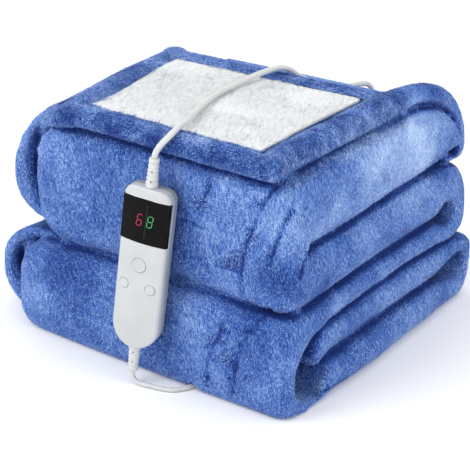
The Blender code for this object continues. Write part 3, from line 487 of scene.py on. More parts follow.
def uneven(name, size, tones, stops=(0.30, 0.70), kind="TexNoise", settings=None, drawn=None, gloss=None,
           raised=None, **sockets):
    """A finish that follows a pattern of that size over the object: its colour between two tones and
    its roughness between the two values of gloss; raised is a grain's size, strength and height."""
    made, tree, shader = finish(name, **sockets)
    place = add(tree, "TexCoord").outputs["Object"]
    if drawn:
        place = add(tree, "Mapping", {"Vector": place, "Scale": drawn}).outputs["Vector"]
    inputs = {"Vector": place, "Scale": 1.0 / size, "Detail": 2.0, **(settings or {})}
    share = add(tree, kind, inputs).outputs["Fac"]
    ends = {"Base Color": ramp(tree, share, tuple(zip(stops, tones)))}
    if "Emission_Strength" in sockets:
        ends["Emission Color"] = ends["Base Color"]
    if gloss:
        rough = add(tree, "MapRange", {"Value": share, "To Min": gloss[0], "To Max": gloss[1]})
        ends["Roughness"] = rough.outputs[0]
    if raised:
        size, strength, height = raised
        grain = add(tree, "TexNoise", {"Vector": place, "Scale": 1.0 / size, "Detail": 2.0}).outputs["Fac"]
        bump = add(tree, "Bump", {"Height": grain, "Strength": strength, "Distance": height})
        ends["Normal"] = bump.outputs["Normal"]
    wire(tree, shader, ends)
    return made


def moulded_abs(name, *tones):
    """ABS, injection moulded in a finely spark-eroded tool: white and satin, with broad soft highlights."""
    return uneven(name, 26.0 * MM, tones, gloss=(0.28, 0.42), raised=(0.5 * MM, 0.12, 0.05 * MM),
                  Roughness=0.34, IOR=1.53)


def smoked_acrylic():
    """Smoked acrylic, moulded and polished: near black, with a clear reflection and faint wipe marks."""
    return uneven("smoked_acrylic", 9.0 * MM, ("0B0B0C", "111112"), stops=(0.35, 0.75), gloss=(0.16, 0.30),
                  settings={"Detail": 3.0, "Distortion": 1.5}, Roughness=0.22, IOR=1.49,
                  Specular_IOR_Level=0.08)


def moulded_pvc():
    """Soft PVC, extruded over the lead and moulded on its ends: warm white, waxy, slightly uneven."""
    return uneven("moulded_pvc", 4.0 * MM, ("C5C7C7", "D0D2D2"), gloss=(0.40, 0.55),
                  raised=(4.0 * MM, 0.10, 0.15 * MM), Roughness=0.46, IOR=1.53)


def plated_brass():
    """Brass, turned and nickel plated: pale metal with fine marks round the pin."""
    return uneven("plated_brass", 0.4 * MM, ("C9C4B6", "DEDACE"), drawn=(0.1, 1.0, 0.1), gloss=(0.20, 0.36),
                  Metallic=1.0, Roughness=0.26)


def spun_thread():
    """Polyester sewing thread, twisted: dark blue with a slight gloss."""
    return uneven("spun_thread", 3.0 * MM, ("22386F", "34509A"), stops=(0.2, 0.8), kind="TexWave",
                  settings={"Distortion": 1.0}, Roughness=0.55, IOR=1.50)


def lit_segment(name, tones, strength):
    """A light-emitting segment behind the window, or the seam's painted glint: a flat glow, a little uneven
    along the bar.
    """
    return uneven(name, 1.6 * MM, tones, stops=(0.25, 0.75), settings={"Detail": 1.0}, Roughness=0.4,
                  Emission_Strength=strength)


def dark_slot():
    """The shadowed inside of a small slot in soft plastic."""
    return uneven("slot_shadow", 0.6 * MM, ("2B2B2A", "454543"), Roughness=0.8)


# ---- fleece
CLOTH_CELL = 1.7 * MM if FULL else 2.8 * MM
CLOTH_TRIANGLES = 190000 if FULL else 120000
# The closed middles of the stack's two halves, where no fold can be looked into: low and high corners.
STACK_CORES = (
    ((-0.096, -0.078, 0.012), (0.126, 0.126, 0.080)),
    ((-0.070, -0.106, 0.098), (0.126, 0.100, 0.200)),
)
# The bed of the lead in the cloth: room under it, how near it counts, its flat and sloping reach, and
# the height above which it is pressed straight down.
LEAD_BED = {"under": 1.2 * MM, "near": 9.0 * MM, "flat": 3.0 * MM, "slope": 4.0 * MM, "top": 0.165}
# Pile and wadding that close the folds' creases: how thick, and where they run.
FOLD_FILLS = (
    (6.0 * MM, tenths((-820, -1165, 890), (1180, -1165, 890), (1460, -1075, 890))),
    (4.5 * MM, tenths((-750, -1205, 1995), (1420, -1205, 1995))),
    (7.0 * MM, tenths(
        (-1060, -1040, 1020), (-1150, -1040, 1300), (-1150, -1040, 1600), (-1080, -1060, 1800),
        (-970, -1060, 1940))),
    (7.0 * MM, tenths(
        (-1430, -1060, 120), (-1440, -1060, 320), (-1390, -1060, 600), (-1280, -1060, 770))),
    (7.0 * MM, tenths(
        (-580, -1310, 2080), (-700, -1295, 2060), (-800, -1260, 2025), (-890, -1210, 1985),
        (-960, -1160, 1940), (-1040, -1115, 1870))),
)
# Soft troughs where the wires' channels are stitched: how deep and wide, and as (x, z) down the front.
CHANNELS = (
    (2.0 * MM, 2.6 * MM, tenths((1420, 1960), (1305, 1710), (1214, 1496), (1160, 1280), (1137, 1036))),
    (0.8 * MM, 1.8 * MM, tenths((860, 1860), (782, 1688), (660, 1427))),
    (1.7 * MM, 2.6 * MM, tenths((1560, 1800), (1480, 1550), (1420, 1350))),
    (2.0 * MM, 3.0 * MM, tenths((1000, 720), (970, 600), (878, 330), (850, 100))),
    (2.2 * MM, 3.0 * MM, tenths((1380, 920), (1205, 620), (1147, 390), (1100, 100))),
)
# Short marks of their own: a ragged crease at the right corner with its raised lip, the seam that
# shows along the lowest ply's edge, the hem's inner foot and the crease beside the left wrap.
# Each has its depth, its width, how much lighter it is painted (painted shade in the creases and at the
# hem's foot, a painted highlight on the raised lip, a darker line along the seam), how ragged, and where it
# runs.
MARKS = (
    (2.5 * MM, 2.2 * MM, -0.60, 1.4 * MM, tenths(
        (1565, -975, 1385), (1612, -1105, 1390), (1618, -1172, 1350), (1612, -1222, 1260))),
    (-0.8 * MM, 2.2 * MM, 0.28, 1.0 * MM, tenths(
        (1615, -1060, 1470), (1600, -1190, 1425), (1570, -1255, 1370), (1545, -1290, 1290))),
    (1.0 * MM, 1.2 * MM, -0.55, 0.3 * MM, tenths(
        (1600, -1150, 85), (1650, -900, 95), (1665, -400, 90), (1665, 100, 85), (1650, 600, 80))),
    (0.8 * MM, 3.0 * MM, -0.34, 1.6 * MM, tenths(
        (-505, -1180, 2215), (-505, 215, 2215), (1240, 255, 2215))),
    (1.5 * MM, 2.4 * MM, -0.45, 0.5 * MM, tenths(
        (-720, -1270, 1975), (-800, -1270, 1955), (-900, -1235, 1900), (-980, -1220, 1810),
        (-1015, -1210, 1700), (-1030, -1200, 1500), (-1035, -1200, 1250))),
)
# Painted shade in the channels' troughs: how much darker they are.
CHANNEL_SHADE = 0.42
# The fleece's slow swells and small dents: how high they stand and how wide they are.
SWELLS = ((0.9 * MM, 42.0 * MM), (0.45 * MM, 17.0 * MM), (0.28 * MM, 6.5 * MM))
# Room pressed into the cloth for the controller: beside it, past its ends and behind its back.
CONTROLLER_BED = {"beside": 1.0 * MM, "ends": 26.0 * MM, "under": 1.0 * MM, "deep": 12.0 * MM}
# Painted shade: how much darker the pile is painted where folds close over it, near by and further off:
# reach, shade, power.
OUTLOOK_RAYS = 12 if FULL else 6
CREASE_SHADE_REACHES = ((7.0 * MM, 0.50, 1.2), (28.0 * MM, 0.65, 1.5))
CONTACT_SHADOW = {"shade": 0.55, "reach": 4.0 * MM}  # painted shadow: the pile is darker close to the controller
ROOT_SHADE = 0.20  # painted shade: the cloth under the pile is darker than its tips, as the shadowed roots between the blades


def line_distance(points, line):
    """Distance of points from a polyline, in a plane or in space."""
    nearest = np.full(len(points), 1.0)
    for start, end in zip(line, line[1:]):
        start, along = np.array(start), np.array(end) - np.array(start)
        share = np.clip(((points - start) @ along) / (along @ along), 0.0, 1.0)
        gap = np.linalg.norm(points - start - share[:, None] * along, axis=1)
        nearest = np.minimum(nearest, gap)
    return nearest


def on_front(places, normals):
    """1 on the folded front walls, 0 elsewhere."""
    return step(-0.088, -0.108, places[:, 1]) * step(0.2, 0.6, -normals[:, 1])


def mark_strength(places, wide, ragged, line):
    """How near places lie to one of the short marks, from 0 to 1."""
    gap = line_distance(places, line) + ragged * waves(places, 4.0 * MM, 7.0)
    return np.exp(-(gap / wide) ** 2)


def drawn_tone(places, normals):
    """Painted shade in the channels' troughs, and the marks' painted shade and highlight, fine enough to be
    taken blade by blade.
    """
    troughs = np.zeros(len(places))
    for _, wide, line in CHANNELS:
        gap = line_distance(places[:, [0, 2]], line)
        troughs = np.maximum(troughs, np.exp(-(gap / (0.55 * wide)) ** 2))
    total = -CHANNEL_SHADE * (troughs * on_front(places, normals))
    for _, wide, tone, ragged, line in MARKS:
        total += tone * mark_strength(places, wide, ragged, line)
    return total


def fleece_relief(places, normals):
    """How far the fleece's surface stands out: its swells, the channels and the marks."""
    rise = sum(high * waves(places, wide, k) for k, (high, wide) in enumerate(SWELLS))
    front = on_front(places, normals)
    for deep, wide, line in CHANNELS:
        gap = line_distance(places[:, [0, 2]], line)
        trough = np.exp(-(gap / wide) ** 2)
        swell = np.exp(-((gap - 2.6 * wide) / (1.6 * wide)) ** 2)
        rise += front * (0.35 * deep * swell - deep * trough)
    for deep, wide, _, ragged, line in MARKS:
        rise -= deep * mark_strength(places, wide, ragged, line)
    return rise * step(0.0, 4.0 * MM, places[:, 2])


def clear_of_controller(places):
    """Presses the cloth back where the controller lies on it."""
    place = controller_place()
    inverse = np.array(place.inverted())
    across, along, out = (places @ inverse[:3, :3].T + inverse[:3, 3]).T
    under = CONTROLLER_BED["under"]
    over = np.abs(across) < 0.5 * CONTROLLER_WIDTH + CONTROLLER_BED["beside"]
    over &= np.abs(along) < 0.5 * CONTROLLER_LENGTH + CONTROLLER_BED["ends"]
    push = np.where(over & (out > -under) & (out < CONTROLLER_BED["deep"]), out + under, 0.0)
    return places - push[:, None] * np.array(place.to_3x3() @ Vector((0.0, 0.0, 1.0)))


def clear_of_lead(places, normals, course):
    """Presses the cloth down where the mains lead lies on it."""
    tree = KDTree(len(course))
    for i, point in enumerate(course):
        tree.insert(point, i)
    tree.balance()
    depth = 0.5 * LEAD_DIAMETER + LEAD_BED["under"]
    for i in range(len(places)):
        place, normal = Vector(places[i]), Vector(normals[i])
        middle, _, gap = tree.find(place)
        if gap > LEAD_BED["near"]:
            continue
        if middle.z > LEAD_BED["top"]:
            normal = Vector((0.0, 0.0, 1.0))
        off = place - middle
        height = off.dot(normal)
        aside = (off - normal * height).length
        share = 1.0 - min(1.0, max(0.0, (aside - LEAD_BED["flat"]) / LEAD_BED["slope"]))
        places[i] = place - normal * max(0.0, height + depth) * share
    return places


def fill_folds(bm):
    """Rows of overlapping balls along the creases, which the fine cell joins to the cloth."""
    for radius, line in FOLD_FILLS:
        for start, end in zip(line, line[1:]):
            start, end = Vector(start), Vector(end)
            count = max(2, int((end - start).length / (0.4 * radius)))
            for i in range(count + 1):
                place = Matrix.Translation(start.lerp(end, i / count))
                bmesh.ops.create_icosphere(bm, subdivisions=2, radius=radius, matrix=place)


def fleece_cloth(material, course):
    """The folded throw: the solid's folds at a fine cell, with its pillowed surface and channels."""
    bm = bmesh.new()
    bm.from_mesh(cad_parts["blanket_cloth"].data)
    for low, high in STACK_CORES:
        low, high = Vector(low), Vector(high)
        bmesh.ops.create_cube(bm, size=1.0, matrix=Matrix.Translation(0.5 * (low + high))
                              @ Matrix.Diagonal((*(high - low), 1.0)))
    fill_folds(bm)
    cloth = place_object("blanket_fleece", built(bm, "blanket_fleece"))
    voxels(cloth, CLOTH_CELL)
    ease = cloth.modifiers.new("ease", "SMOOTH")
    ease.factor = 0.5
    ease.iterations = 5
    evaluated(cloth)
    made = 2 * len(cloth.data.polygons)
    if made > CLOTH_TRIANGLES:
        thin = cloth.modifiers.new("thin", "DECIMATE")
        thin.ratio = CLOTH_TRIANGLES / made
        evaluated(cloth)
    mesh = cloth.data
    places, normals = points_of(mesh)
    places = places + normals * fleece_relief(places, normals)[:, None]
    places = clear_of_lead(clear_of_controller(places), normals, course)
    places[:, 2] = np.maximum(places[:, 2], 0.0)
    set_points(mesh, places)
    mesh.shade_smooth()
    dress(mesh, material)
    belong(cloth, "fleece", "blanket_cloth")
    return cloth


# Patches where the nap was brushed another way, with painted light and shade among them (lighter on faces
# turned to the light, painted shade under the hem's roll): middle and reach in millimetres, and how much
# lighter they are in hundredths.
NAP_LIGHT_AND_SHADE_PATCHES = (
    (-51, -132, 165, 36, -6), (-74, -131, 177, 16, 8), (100, -135, 195, 18, 16), (81, -135, 159, 28, 5),
    (146, -133, 122, 22, -28), (170, -133, 155, 14, 10), (127, -134, 183, 13, 12),
    (-37, -132, 135, 20, -12), (65, -135, 115, 20, -12), (113, -134, 151, 14, 6), (-57, -139, 70, 32, -12),
    (-89, -138, 39, 18, 12), (-36, -139, 41, 18, 6), (63, -140, 73, 20, 12), (94, -141, 52, 18, 6),
    (128, -141, 76, 14, -10), (161, -140, 76, 16, -18), (139, -140, 24, 16, 10), (163, -139, 24, 12, -12),
    (56, -139, 13, 16, -10), (163, 12, 184, 46, 24), (162, 71, 154, 26, 24), (163, -43, 176, 16, -18),
    (163, -64, 168, 18, 10), (163, -85, 152, 18, 12), (163, -103, 182, 14, -6), (162, 120, 155, 10, -10),
    (161, 22, 102, 18, -16), (161, 73, 106, 18, 10), (161, -50, 109, 16, -10), (161, -91, 99, 18, -16),
    (160, 62, 60, 14, 10), (160, -11, 68, 14, -6), (161, 93, 16, 18, -6), (165, -50, 11, 20, -10),
    (167, 30, 2, 20, 6), (-50, -154, 222, 24, -34), (-1, -152, 222, 24, -34), (55, -150, 222, 24, -36),
    (103, -148, 222, 24, -34), (148, -144, 221, 14, -10), (152, -113, 223, 16, -6),
    (144, -43, 223, 16, -20), (136, 46, 218, 18, -26), (144, 102, 205, 18, -24), (-49, -81, 223, 16, -12),
    (-39, 16, 223, 18, -16), (67, 26, 223, 18, -18), (-135, -109, 142, 30, 2), (150, -134, 165, 22, 10),
    (-60, -140, 45, 70, -12), (120, -140, 50, 50, -10), (146, -90, 222, 22, -22), (146, -20, 222, 24, -24),
    (140, 40, 219, 22, -22), (150, -60, 212, 16, -20), (163, 90, 186, 28, 22), (163, 50, 198, 22, 16),
    (163, -20, 192, 30, 14), (-35, -128, 222.5, 14, 22), (20, -128, 222.5, 16, 18),
    (75, -128, 222.5, 14, 22), (112, -129, 222.5, 11, 20),
    *((x, -141, 207, 18, -20) for x in (-55, -10, 35, 85, 125))
)


def nap_light_and_shade(places):
    """The patches' tone at points, the brushed nap with its painted light and shade: 0 where the nap is
    even.
    """
    total = np.zeros(len(places))
    for *middle, reach, tone in NAP_LIGHT_AND_SHADE_PATCHES:
        reach, tone = reach / 1000.0, tone / 100.0
        gap = np.linalg.norm(places - np.array(middle) / 1000.0, axis=1) / reach
        total += tone * np.exp(-gap ** 2 * (1.0 + 0.5 * waves(places, 0.6 * reach, tone)))
    return total


def openness(tree, places, normals, reach):
    """Share of a place's outlook, over rays round its normal, that is clear of other cloth."""
    spread = unit(np.random.default_rng(3).normal(0.0, 1.0, (OUTLOOK_RAYS, 3)))
    made = np.zeros(len(places))
    starts = places + normals * 1.2 * MM
    for ray in spread:
        ways = unit(normals + 0.92 * ray)
        made += [tree.ray_cast(start, way, reach)[0] is None for start, way in zip(starts, ways)]
    return made / OUTLOOK_RAYS


# The tone attribute that the finishes read: the nap with painted light and shade.
def set_tone(mesh, tones):
    values = mesh.attributes.new("nap_and_shade", "FLOAT", "POINT")
    values.data.foreach_set("value", tones.astype(np.float32))


def cloth_tone(cloth, tree):
    """Tone of the cloth under its pile: the patches with their painted light and shade, painted shade in
    creases, and a painted shadow close to the controller.
    """
    places, normals = points_of(cloth.data)
    tones = nap_light_and_shade(places)
    # Painted shade in the creases, darker the more the cloth round a place closes over it.
    for reach, shade, power in CREASE_SHADE_REACHES:
        tones -= shade * (1.0 - openness(tree, places, normals, reach)) ** power
    # Painted shadow beside the controller's back shell and strain reliefs.
    shell = tree_of(("controller_back", "strain_relief_upper", "strain_relief_lower"))
    gaps = np.array([shell.find_nearest(Vector(place))[3] for place in places])
    tones -= CONTACT_SHADOW["shade"] * np.exp(-gaps / CONTACT_SHADOW["reach"])
    return tones


def tree_of(names):
    """A search tree over several CAD nodes, in the part's frame."""
    points, faces = [], []
    for name in names:
        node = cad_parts[name]
        first = len(points)
        points += [node.matrix_world @ vertex.co for vertex in node.data.vertices]
        faces += [[first + k for k in polygon.vertices] for polygon in node.data.polygons]
    return BVHTree.FromPolygons(points, faces)


# ---- pile
def surface_samples(mesh, count, seed, keep, tones):
    """Random places on a mesh's faces with their smooth normals and tones, where keep() is true."""
    mesh.calc_loop_triangles()
    corners = np.zeros(len(mesh.loop_triangles) * 3, int)
    mesh.loop_triangles.foreach_get("vertices", corners)
    corners = corners.reshape(-1, 3)
    places, normals = points_of(mesh)
    a, b, c = (places[corners[:, k]] for k in range(3))
    area = 0.5 * np.linalg.norm(np.cross(b - a, c - a), axis=1)
    area = area * keep((a + b + c) / 3.0, normals[corners].mean(axis=1))
    draw = np.random.default_rng(seed)
    chosen = corners[draw.choice(len(corners), size=count, p=area / area.sum())]
    share = draw.random((count, 2))
    over = share.sum(axis=1) > 1.0
    share[over] = 1.0 - share[over]
    weight = np.column_stack([1.0 - share.sum(axis=1), share])[:, :, None]
    facing = unit((normals[chosen] * weight).sum(axis=1))
    return (places[chosen] * weight).sum(axis=1), facing, (tones[chosen] * weight[:, :, 0]).sum(axis=1)


# How close in front of a blade's place other cloth may stand, and how many more places that takes.
SIGHT = {"start": 0.8 * MM, "room": 7.0 * MM, "spare": 1.45}


def seen_samples(cloth, tree, count, seed, keep, tones):
    """Samples of the cloth that nothing stands close in front of."""
    at, normals, tone = surface_samples(cloth.data, int(count * SIGHT["spare"]), seed, keep, tones)
    clear = np.ones(len(at), bool)
    for i, (place, normal) in enumerate(zip(at, normals)):
        start = Vector(place) + Vector(normal) * SIGHT["start"]
        clear[i] = tree.ray_cast(start, Vector(normal), SIGHT["room"])[0] is None
    return at[clear][:count], normals[clear][:count], tone[clear][:count]


def nap_direction(places, normals, lean):
    """Which way the pile is brushed: down the cloth, turning in slow swirls."""
    swirl = np.column_stack([waves(places, 30.0 * MM, k) for k in (3.0, 4.0, 5.0)])
    return laid_down(np.array(lean) + 0.9 * swirl, normals)


# The blades' stray off the nap, the depth of their roots, how far their shading curls, bows and tips
# over, and how much lighter their tips are painted: painted light on the tips, painted shade at the roots.
BLADE = {"stray": 0.35, "root": 0.25 * MM, "curl": 0.55, "bow": 0.25, "tip": 0.35, "tip_light": 0.10}


def pile(name, at, normals, tone, row, material, slot, seed, way=None):
    """A joined mesh of fine blades, one triangle each, leaning along the nap or the way that is given."""
    draw = np.random.default_rng(seed)
    count = len(at)
    if way is None:
        way = nap_direction(at, normals, row["lean"])
    way = laid_down(way + draw.normal(0.0, BLADE["stray"], (count, 3)), normals)
    blade = unit(normals * (row["upright"] * draw.uniform(0.6, 1.4, count)[:, None]) + way)
    reach = row["length"] * draw.uniform(0.55, 1.15, count)[:, None]
    side = unit(np.cross(blade, normals))
    half = 0.5 * row["width"] * draw.uniform(0.7, 1.2, count)[:, None]
    root = at - normals * BLADE["root"]
    points = np.stack([root - side * half, root + side * half, root + blade * reach], axis=1).reshape(-1, 3)
    points[:, 2] = np.maximum(points[:, 2], 0.1 * MM)
    mesh = bpy.data.meshes.new(name)
    mesh.vertices.add(3 * count)
    mesh.vertices.foreach_set("co", points.ravel())
    mesh.loops.add(3 * count)
    mesh.loops.foreach_set("vertex_index", np.arange(3 * count, dtype=np.int32))
    mesh.polygons.add(count)
    mesh.polygons.foreach_set("loop_start", np.arange(0, 3 * count, 3, dtype=np.int32))
    mesh.update(calc_edges=True)
    mesh.shade_smooth()
    leaf = unit(normals + BLADE["curl"] * side * draw.normal(0.0, 0.5, count)[:, None] - BLADE["bow"] * way)
    leaf = np.repeat(leaf, 3, axis=0)
    leaf[2::3] += BLADE["tip"] * way
    mesh.normals_split_custom_set_from_vertices(unit(leaf))
    tones = np.repeat(tone + draw.normal(0.0, row["spread"], count), 3)
    # Painted light and shade on each blade: its root darker, its tip lighter.
    tones += np.tile((-BLADE["tip_light"], -BLADE["tip_light"], BLADE["tip_light"]), count)
    set_tone(mesh, tones)
    bake_map(mesh, normals, points)
    return belong(place_object(name, mesh, material), slot)


def bake_map(mesh, normals, points):
    """Texture places by the side of the blanket that a blade stands on: six fields in one square."""
    low, high = np.array(CAD_BOX[0]), np.array(CAD_BOX[1])
    share = np.clip((points - low) / (high - low), 0.0, 1.0)
    side = np.abs(normals).argmax(axis=1)
    axis = np.repeat(side, 3)
    back = np.repeat(normals[np.arange(len(normals)), side] > 0.0, 3)
    first = np.where(axis == 0, share[:, 1], share[:, 0])
    second = np.where(axis == 2, share[:, 1], share[:, 2])
    field = axis * 2 + back
    u = (first * 0.96 + 0.02 + field % 3) / 3.0
    v = (second * 0.96 + 0.02 + field // 3) / 2.0
    layer = mesh.uv_layers.new(name="OFBake")
    layer.data.foreach_set("uv", np.column_stack([u, v]).astype(np.float32).ravel())


FLEECE_PILE = {"count": 190000 if FULL else 90000, "length": 2.6 * MM, "width": 0.75 * MM, "upright": 0.45,
               "spread": 0.09, "lean": (-0.45, -0.25, -0.75)}
# The hem's pile stands longer and more unevenly than the rest, and is a little deeper in tone.
HEM_PILE = {"count": 60000 if FULL else 20000, "length": 3.4 * MM, "width": 0.8 * MM, "upright": 0.35,
            "spread": 0.17, "lean": (-0.45, -0.25, -0.75), "deeper": 0.13}
# The rolled hem lies inside the first (x, y) box, outside the second and above this height.
HEM_OUTER = ((-0.100, 0.158), (-0.150, 0.052))
HEM_INNER = ((-0.046, 0.122), (-0.118, 0.020))
HEM_FOOT = 0.196


def fleece_pile(cloth, tree, material):
    """The short brushed pile, in two joined meshes over all the cloth that can be seen."""
    tones = cloth_tone(cloth, tree)
    # The cloth under the pile takes the same painted tones, darker by the painted root shade.
    set_tone(cloth.data, tones + drawn_tone(*points_of(cloth.data)) - ROOT_SHADE)

    def keep(places, normals):
        return np.where((places[:, 2] > 1.5 * MM) | (normals[:, 2] > -0.5), 1.0, 0.0)

    for part in range(2 if FULL else 1):
        at, normals, tone = seen_samples(cloth, tree, FLEECE_PILE["count"], 20 + part, keep, tones)
        pile("fleece_pile_%d" % (part + 1), at, normals, tone + drawn_tone(at, normals), FLEECE_PILE,
             material, "fleece", 40 + part)
    return tones


def inside(places, box):
    (left, right), (front, back) = box
    x, y = places[:, 0], places[:, 1]
    return (x > left) & (x < right) & (y > front) & (y < back)


def on_hem(places, normals):
    """Whether places are on the rolled hem."""
    kept = inside(places, HEM_OUTER) & ~inside(places, HEM_INNER) & (places[:, 2] > HEM_FOOT)
    return np.where(kept, 1.0, 0.0)


def hem_pile(cloth, tree, tones, material):
    """The hem's own pile, over the even one."""
    at, normals, tone = seen_samples(cloth, tree, HEM_PILE["count"], 31, on_hem, tones)
    tone = tone + 0.18 * waves(at, 6.0 * MM, 8.0) - HEM_PILE["deeper"]
    pile("hem_pile", at, normals, tone, HEM_PILE, material, "fleece", 43)


# ---- sherpa
SHERPA_CELL = 1.6 * MM
SHERPA_PILE = {"count": 120000 if FULL else 30000, "length": 2.0 * MM, "width": 0.9 * MM, "upright": 0.25,
               "spread": 0.09, "lean": (0.1, -0.5, 0.0)}
SHERPA_HOLLOW_SHADE = 0.07  # painted shade: how much the hollows between its curls are greyer
SHERPA_GROOVE_SHADE = 0.46  # and the few short grooves, also painted shade
# Draws the curls out along a line from the front edge to the back left.
SHERPA_DRAWN = np.array(((1.16, -0.18, 0.0), (0.58, 0.36, 0.0), (0.0, 0.0, 1.0)))


def sherpa_field(material):
    """The sherpa that shows inside the hem: the panel's outline with soft wavy curls."""
    made = place_object("sherpa_field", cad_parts["sherpa_panel"].data.copy())
    voxels(made, SHERPA_CELL)
    evaluated(made)
    mesh = made.data
    places, normals = points_of(mesh)
    drawn = places @ SHERPA_DRAWN
    curls = waves(drawn, 4.5 * MM, 1.0) + 0.5 * waves(drawn, 2.6 * MM, 2.0)
    ridge = 1.0 - 2.0 * np.abs(waves(drawn, 8.0 * MM, 3.0))
    groove = step(0.82, 0.98, 1.0 - np.abs(waves(drawn, 10.0 * MM, 4.0)))
    groove *= step(0.1, 0.3, waves(places, 12.0 * MM, 5.0))
    rise = step(0.0, 0.6, normals[:, 2]) * MM * (0.26 * curls + 0.20 * ridge - 0.50 * groove)
    set_points(mesh, places + np.array((0.0, 0.0, 1.0)) * rise[:, None])
    # Painted shade in the hollows between the curls and in the grooves.
    set_tone(mesh, SHERPA_HOLLOW_SHADE * (curls + ridge) - SHERPA_GROOVE_SHADE * groove)
    mesh.shade_smooth()
    dress(mesh, material)
    return belong(made, "sherpa", "sherpa_panel")


def sherpa_pile(field, material):
    """The sherpa's own short pile, all over its upper side."""
    def keep(places, normals):
        return np.where(normals[:, 2] > 0.2, 1.0, 0.0)

    even = np.zeros(len(field.data.vertices))
    at, normals, tone = surface_samples(field.data, SHERPA_PILE["count"], 60, keep, even)
    return pile("sherpa_curls", at, normals, tone, SHERPA_PILE, material, "sherpa", 61)


# The sherpa's corners, from the front left one on; its edges run between them.
FIELD_CORNERS = ((-0.0478, -0.1194), (0.1242, -0.1219), (0.1232, 0.0226), (-0.0478, 0.0196))
STITCH = {"pitch": 4.2 * MM, "long": 1.9 * MM, "thick": 0.45 * MM, "out": 1.3 * MM}
FRINGE = {"count": 12000 if FULL else 3000, "out": 2.6 * MM, "length": 5.0 * MM, "width": 0.8 * MM,
          "upright": 0.35, "spread": 0.09}


def edge_points(first, last, pitch):
    """Even places along the field's edges first to last, each with the edge's way and its outward way."""
    made = []
    for k in range(first, last):
        start, end = Vector(FIELD_CORNERS[k % 4]), Vector(FIELD_CORNERS[(k + 1) % 4])
        along = (end - start).normalized()
        for i in range(int((end - start).length / pitch)):
            made.append((start + along * pitch * (i + 0.5), along, Vector((along.y, -along.x))))
    return made


def on_top(tree, x, y):
    """Height of the cloth's upper side there."""
    hit = tree.ray_cast(Vector((x, y, 0.3)), Vector((0.0, 0.0, -1.0)))
    return hit[0].z


def hem_stitches(tree, thread):
    """The hem's seam, short dark stitches at the foot of its roll along the front and right edges."""
    draw = np.random.default_rng(11)
    size = Matrix.Diagonal((0.5 * STITCH["long"], STITCH["thick"], STITCH["thick"], 1.0))
    places = []
    for at, along, out in edge_points(0, 2, STITCH["pitch"]):
        spot = at + out * (STITCH["out"] + draw.normal(0.0, 0.25 * MM))
        turn = Matrix.Rotation(math.atan2(along.y, along.x) + draw.normal(0.0, 0.15), 4, "Z")
        places.append(Matrix.Translation((*spot, on_top(tree, *spot) + 1.1 * MM)) @ turn @ size)
    beads("hem_stitches", places, (8, 6), "fleece", thread)


def hem_fringe(tree, material):
    """Longer pile of the hem's inner foot, hanging raggedly over the sherpa's front, back and left."""
    draw = np.random.default_rng(12)
    edges = edge_points(0, 1, 1.0 * MM) + edge_points(2, 4, 1.0 * MM)
    count = FRINGE["count"]
    chosen = draw.integers(0, len(edges), count)
    flat = np.array([(*edges[i][0], *edges[i][1], *edges[i][2]) for i in chosen])
    tuft = waves(np.column_stack([flat[:, :2], np.zeros(count)]), 5.0 * MM, 6.0)
    off = draw.uniform(0.0, 1.0, count) * FRINGE["out"] - 0.9 * MM * tuft
    spots = flat[:, :2] + flat[:, 4:6] * off[:, None]
    spots = spots + flat[:, 2:4] * draw.uniform(-0.5, 0.5, (count, 1)) * MM
    heights = np.array([on_top(tree, *spot) for spot in spots]) + 1.5 * MM
    at = np.column_stack([spots, heights])
    normals = np.tile((0.0, 0.0, 1.0), (count, 1))
    way = np.column_stack([-flat[:, 4:6], np.zeros(count)])
    tone = nap_light_and_shade(at) + 0.12 * tuft - 0.10
    pile("hem_fringe", at, normals, tone, FRINGE, material, "fleece", 13, way)


# ---- controller
SEGMENT = {"wide": 0.60 * MM, "gap": 0.30 * MM, "slant": math.radians(7.5), "rise": 0.06 * MM}
# Each bar's middle in half widths and half heights, and whether it lies across.
BARS = {
    "a": (0.0, 1.0, True), "b": (1.0, 0.5, False), "c": (1.0, -0.5, False), "d": (0.0, -1.0, True),
    "e": (-1.0, -0.5, False), "f": (-1.0, 0.5, False), "g": (0.0, 0.0, True),
}
# The two digits: their pieces' names, their middles and the bars that are lit.
DIGITS = (("digit_left", -3.9 * MM, 44.3 * MM, "acdefg"), ("digit_right", 5.2 * MM, 44.6 * MM, "abcdefg"))
WINDOW_SEAM = {"top": (2.03 * MM, 58.3 * MM), "foot": (1.45 * MM, 28.9 * MM), "half": 0.15 * MM, "steps": 8}
DIGIT_WIDTH = 4.2 * MM
DIGIT_HEIGHT = 9.6 * MM


def on_face(place, u, v, rise):
    return place @ Vector((u, v, crown(u) + rise))


def digit(name, middle_u, middle_v, bars, material):
    """A plain seven-bar digit, each bar a thin raised lozenge on the window's curve."""
    place = controller_place()
    lean = math.tan(SEGMENT["slant"])
    points, faces = [], []
    for key in bars:
        across, up, flat = BARS[key]
        bar_u, bar_v = 0.5 * DIGIT_WIDTH * across, 0.5 * DIGIT_HEIGHT * up
        half = 0.5 * (DIGIT_WIDTH if flat else 0.5 * DIGIT_HEIGHT) - SEGMENT["gap"]
        thick = 0.5 * SEGMENT["wide"]
        outline = ((-half, 0.0), (-half + thick, -thick), (half - thick, -thick), (half, 0.0),
                   (half - thick, thick), (-half + thick, thick))
        start = len(points)
        for rise in (-0.05 * MM, SEGMENT["rise"]):
            for along, side in outline:
                du, dv = (along, side) if flat else (side, along)
                u, v = bar_u + du, bar_v + dv
                points.append(on_face(place, middle_u + u + lean * v, middle_v + v, rise))
        count = len(outline)
        faces.append(tuple(start + count + i for i in range(count)))
        faces.append(tuple(start + i for i in reversed(range(count))))
        for i in range(count):
            j = (i + 1) % count
            faces.append((start + i, start + j, start + count + j, start + count + i))
    mesh = mesh_of(name, points, faces, smooth=False)
    belong(place_object(name, mesh, material), "smoked_window")


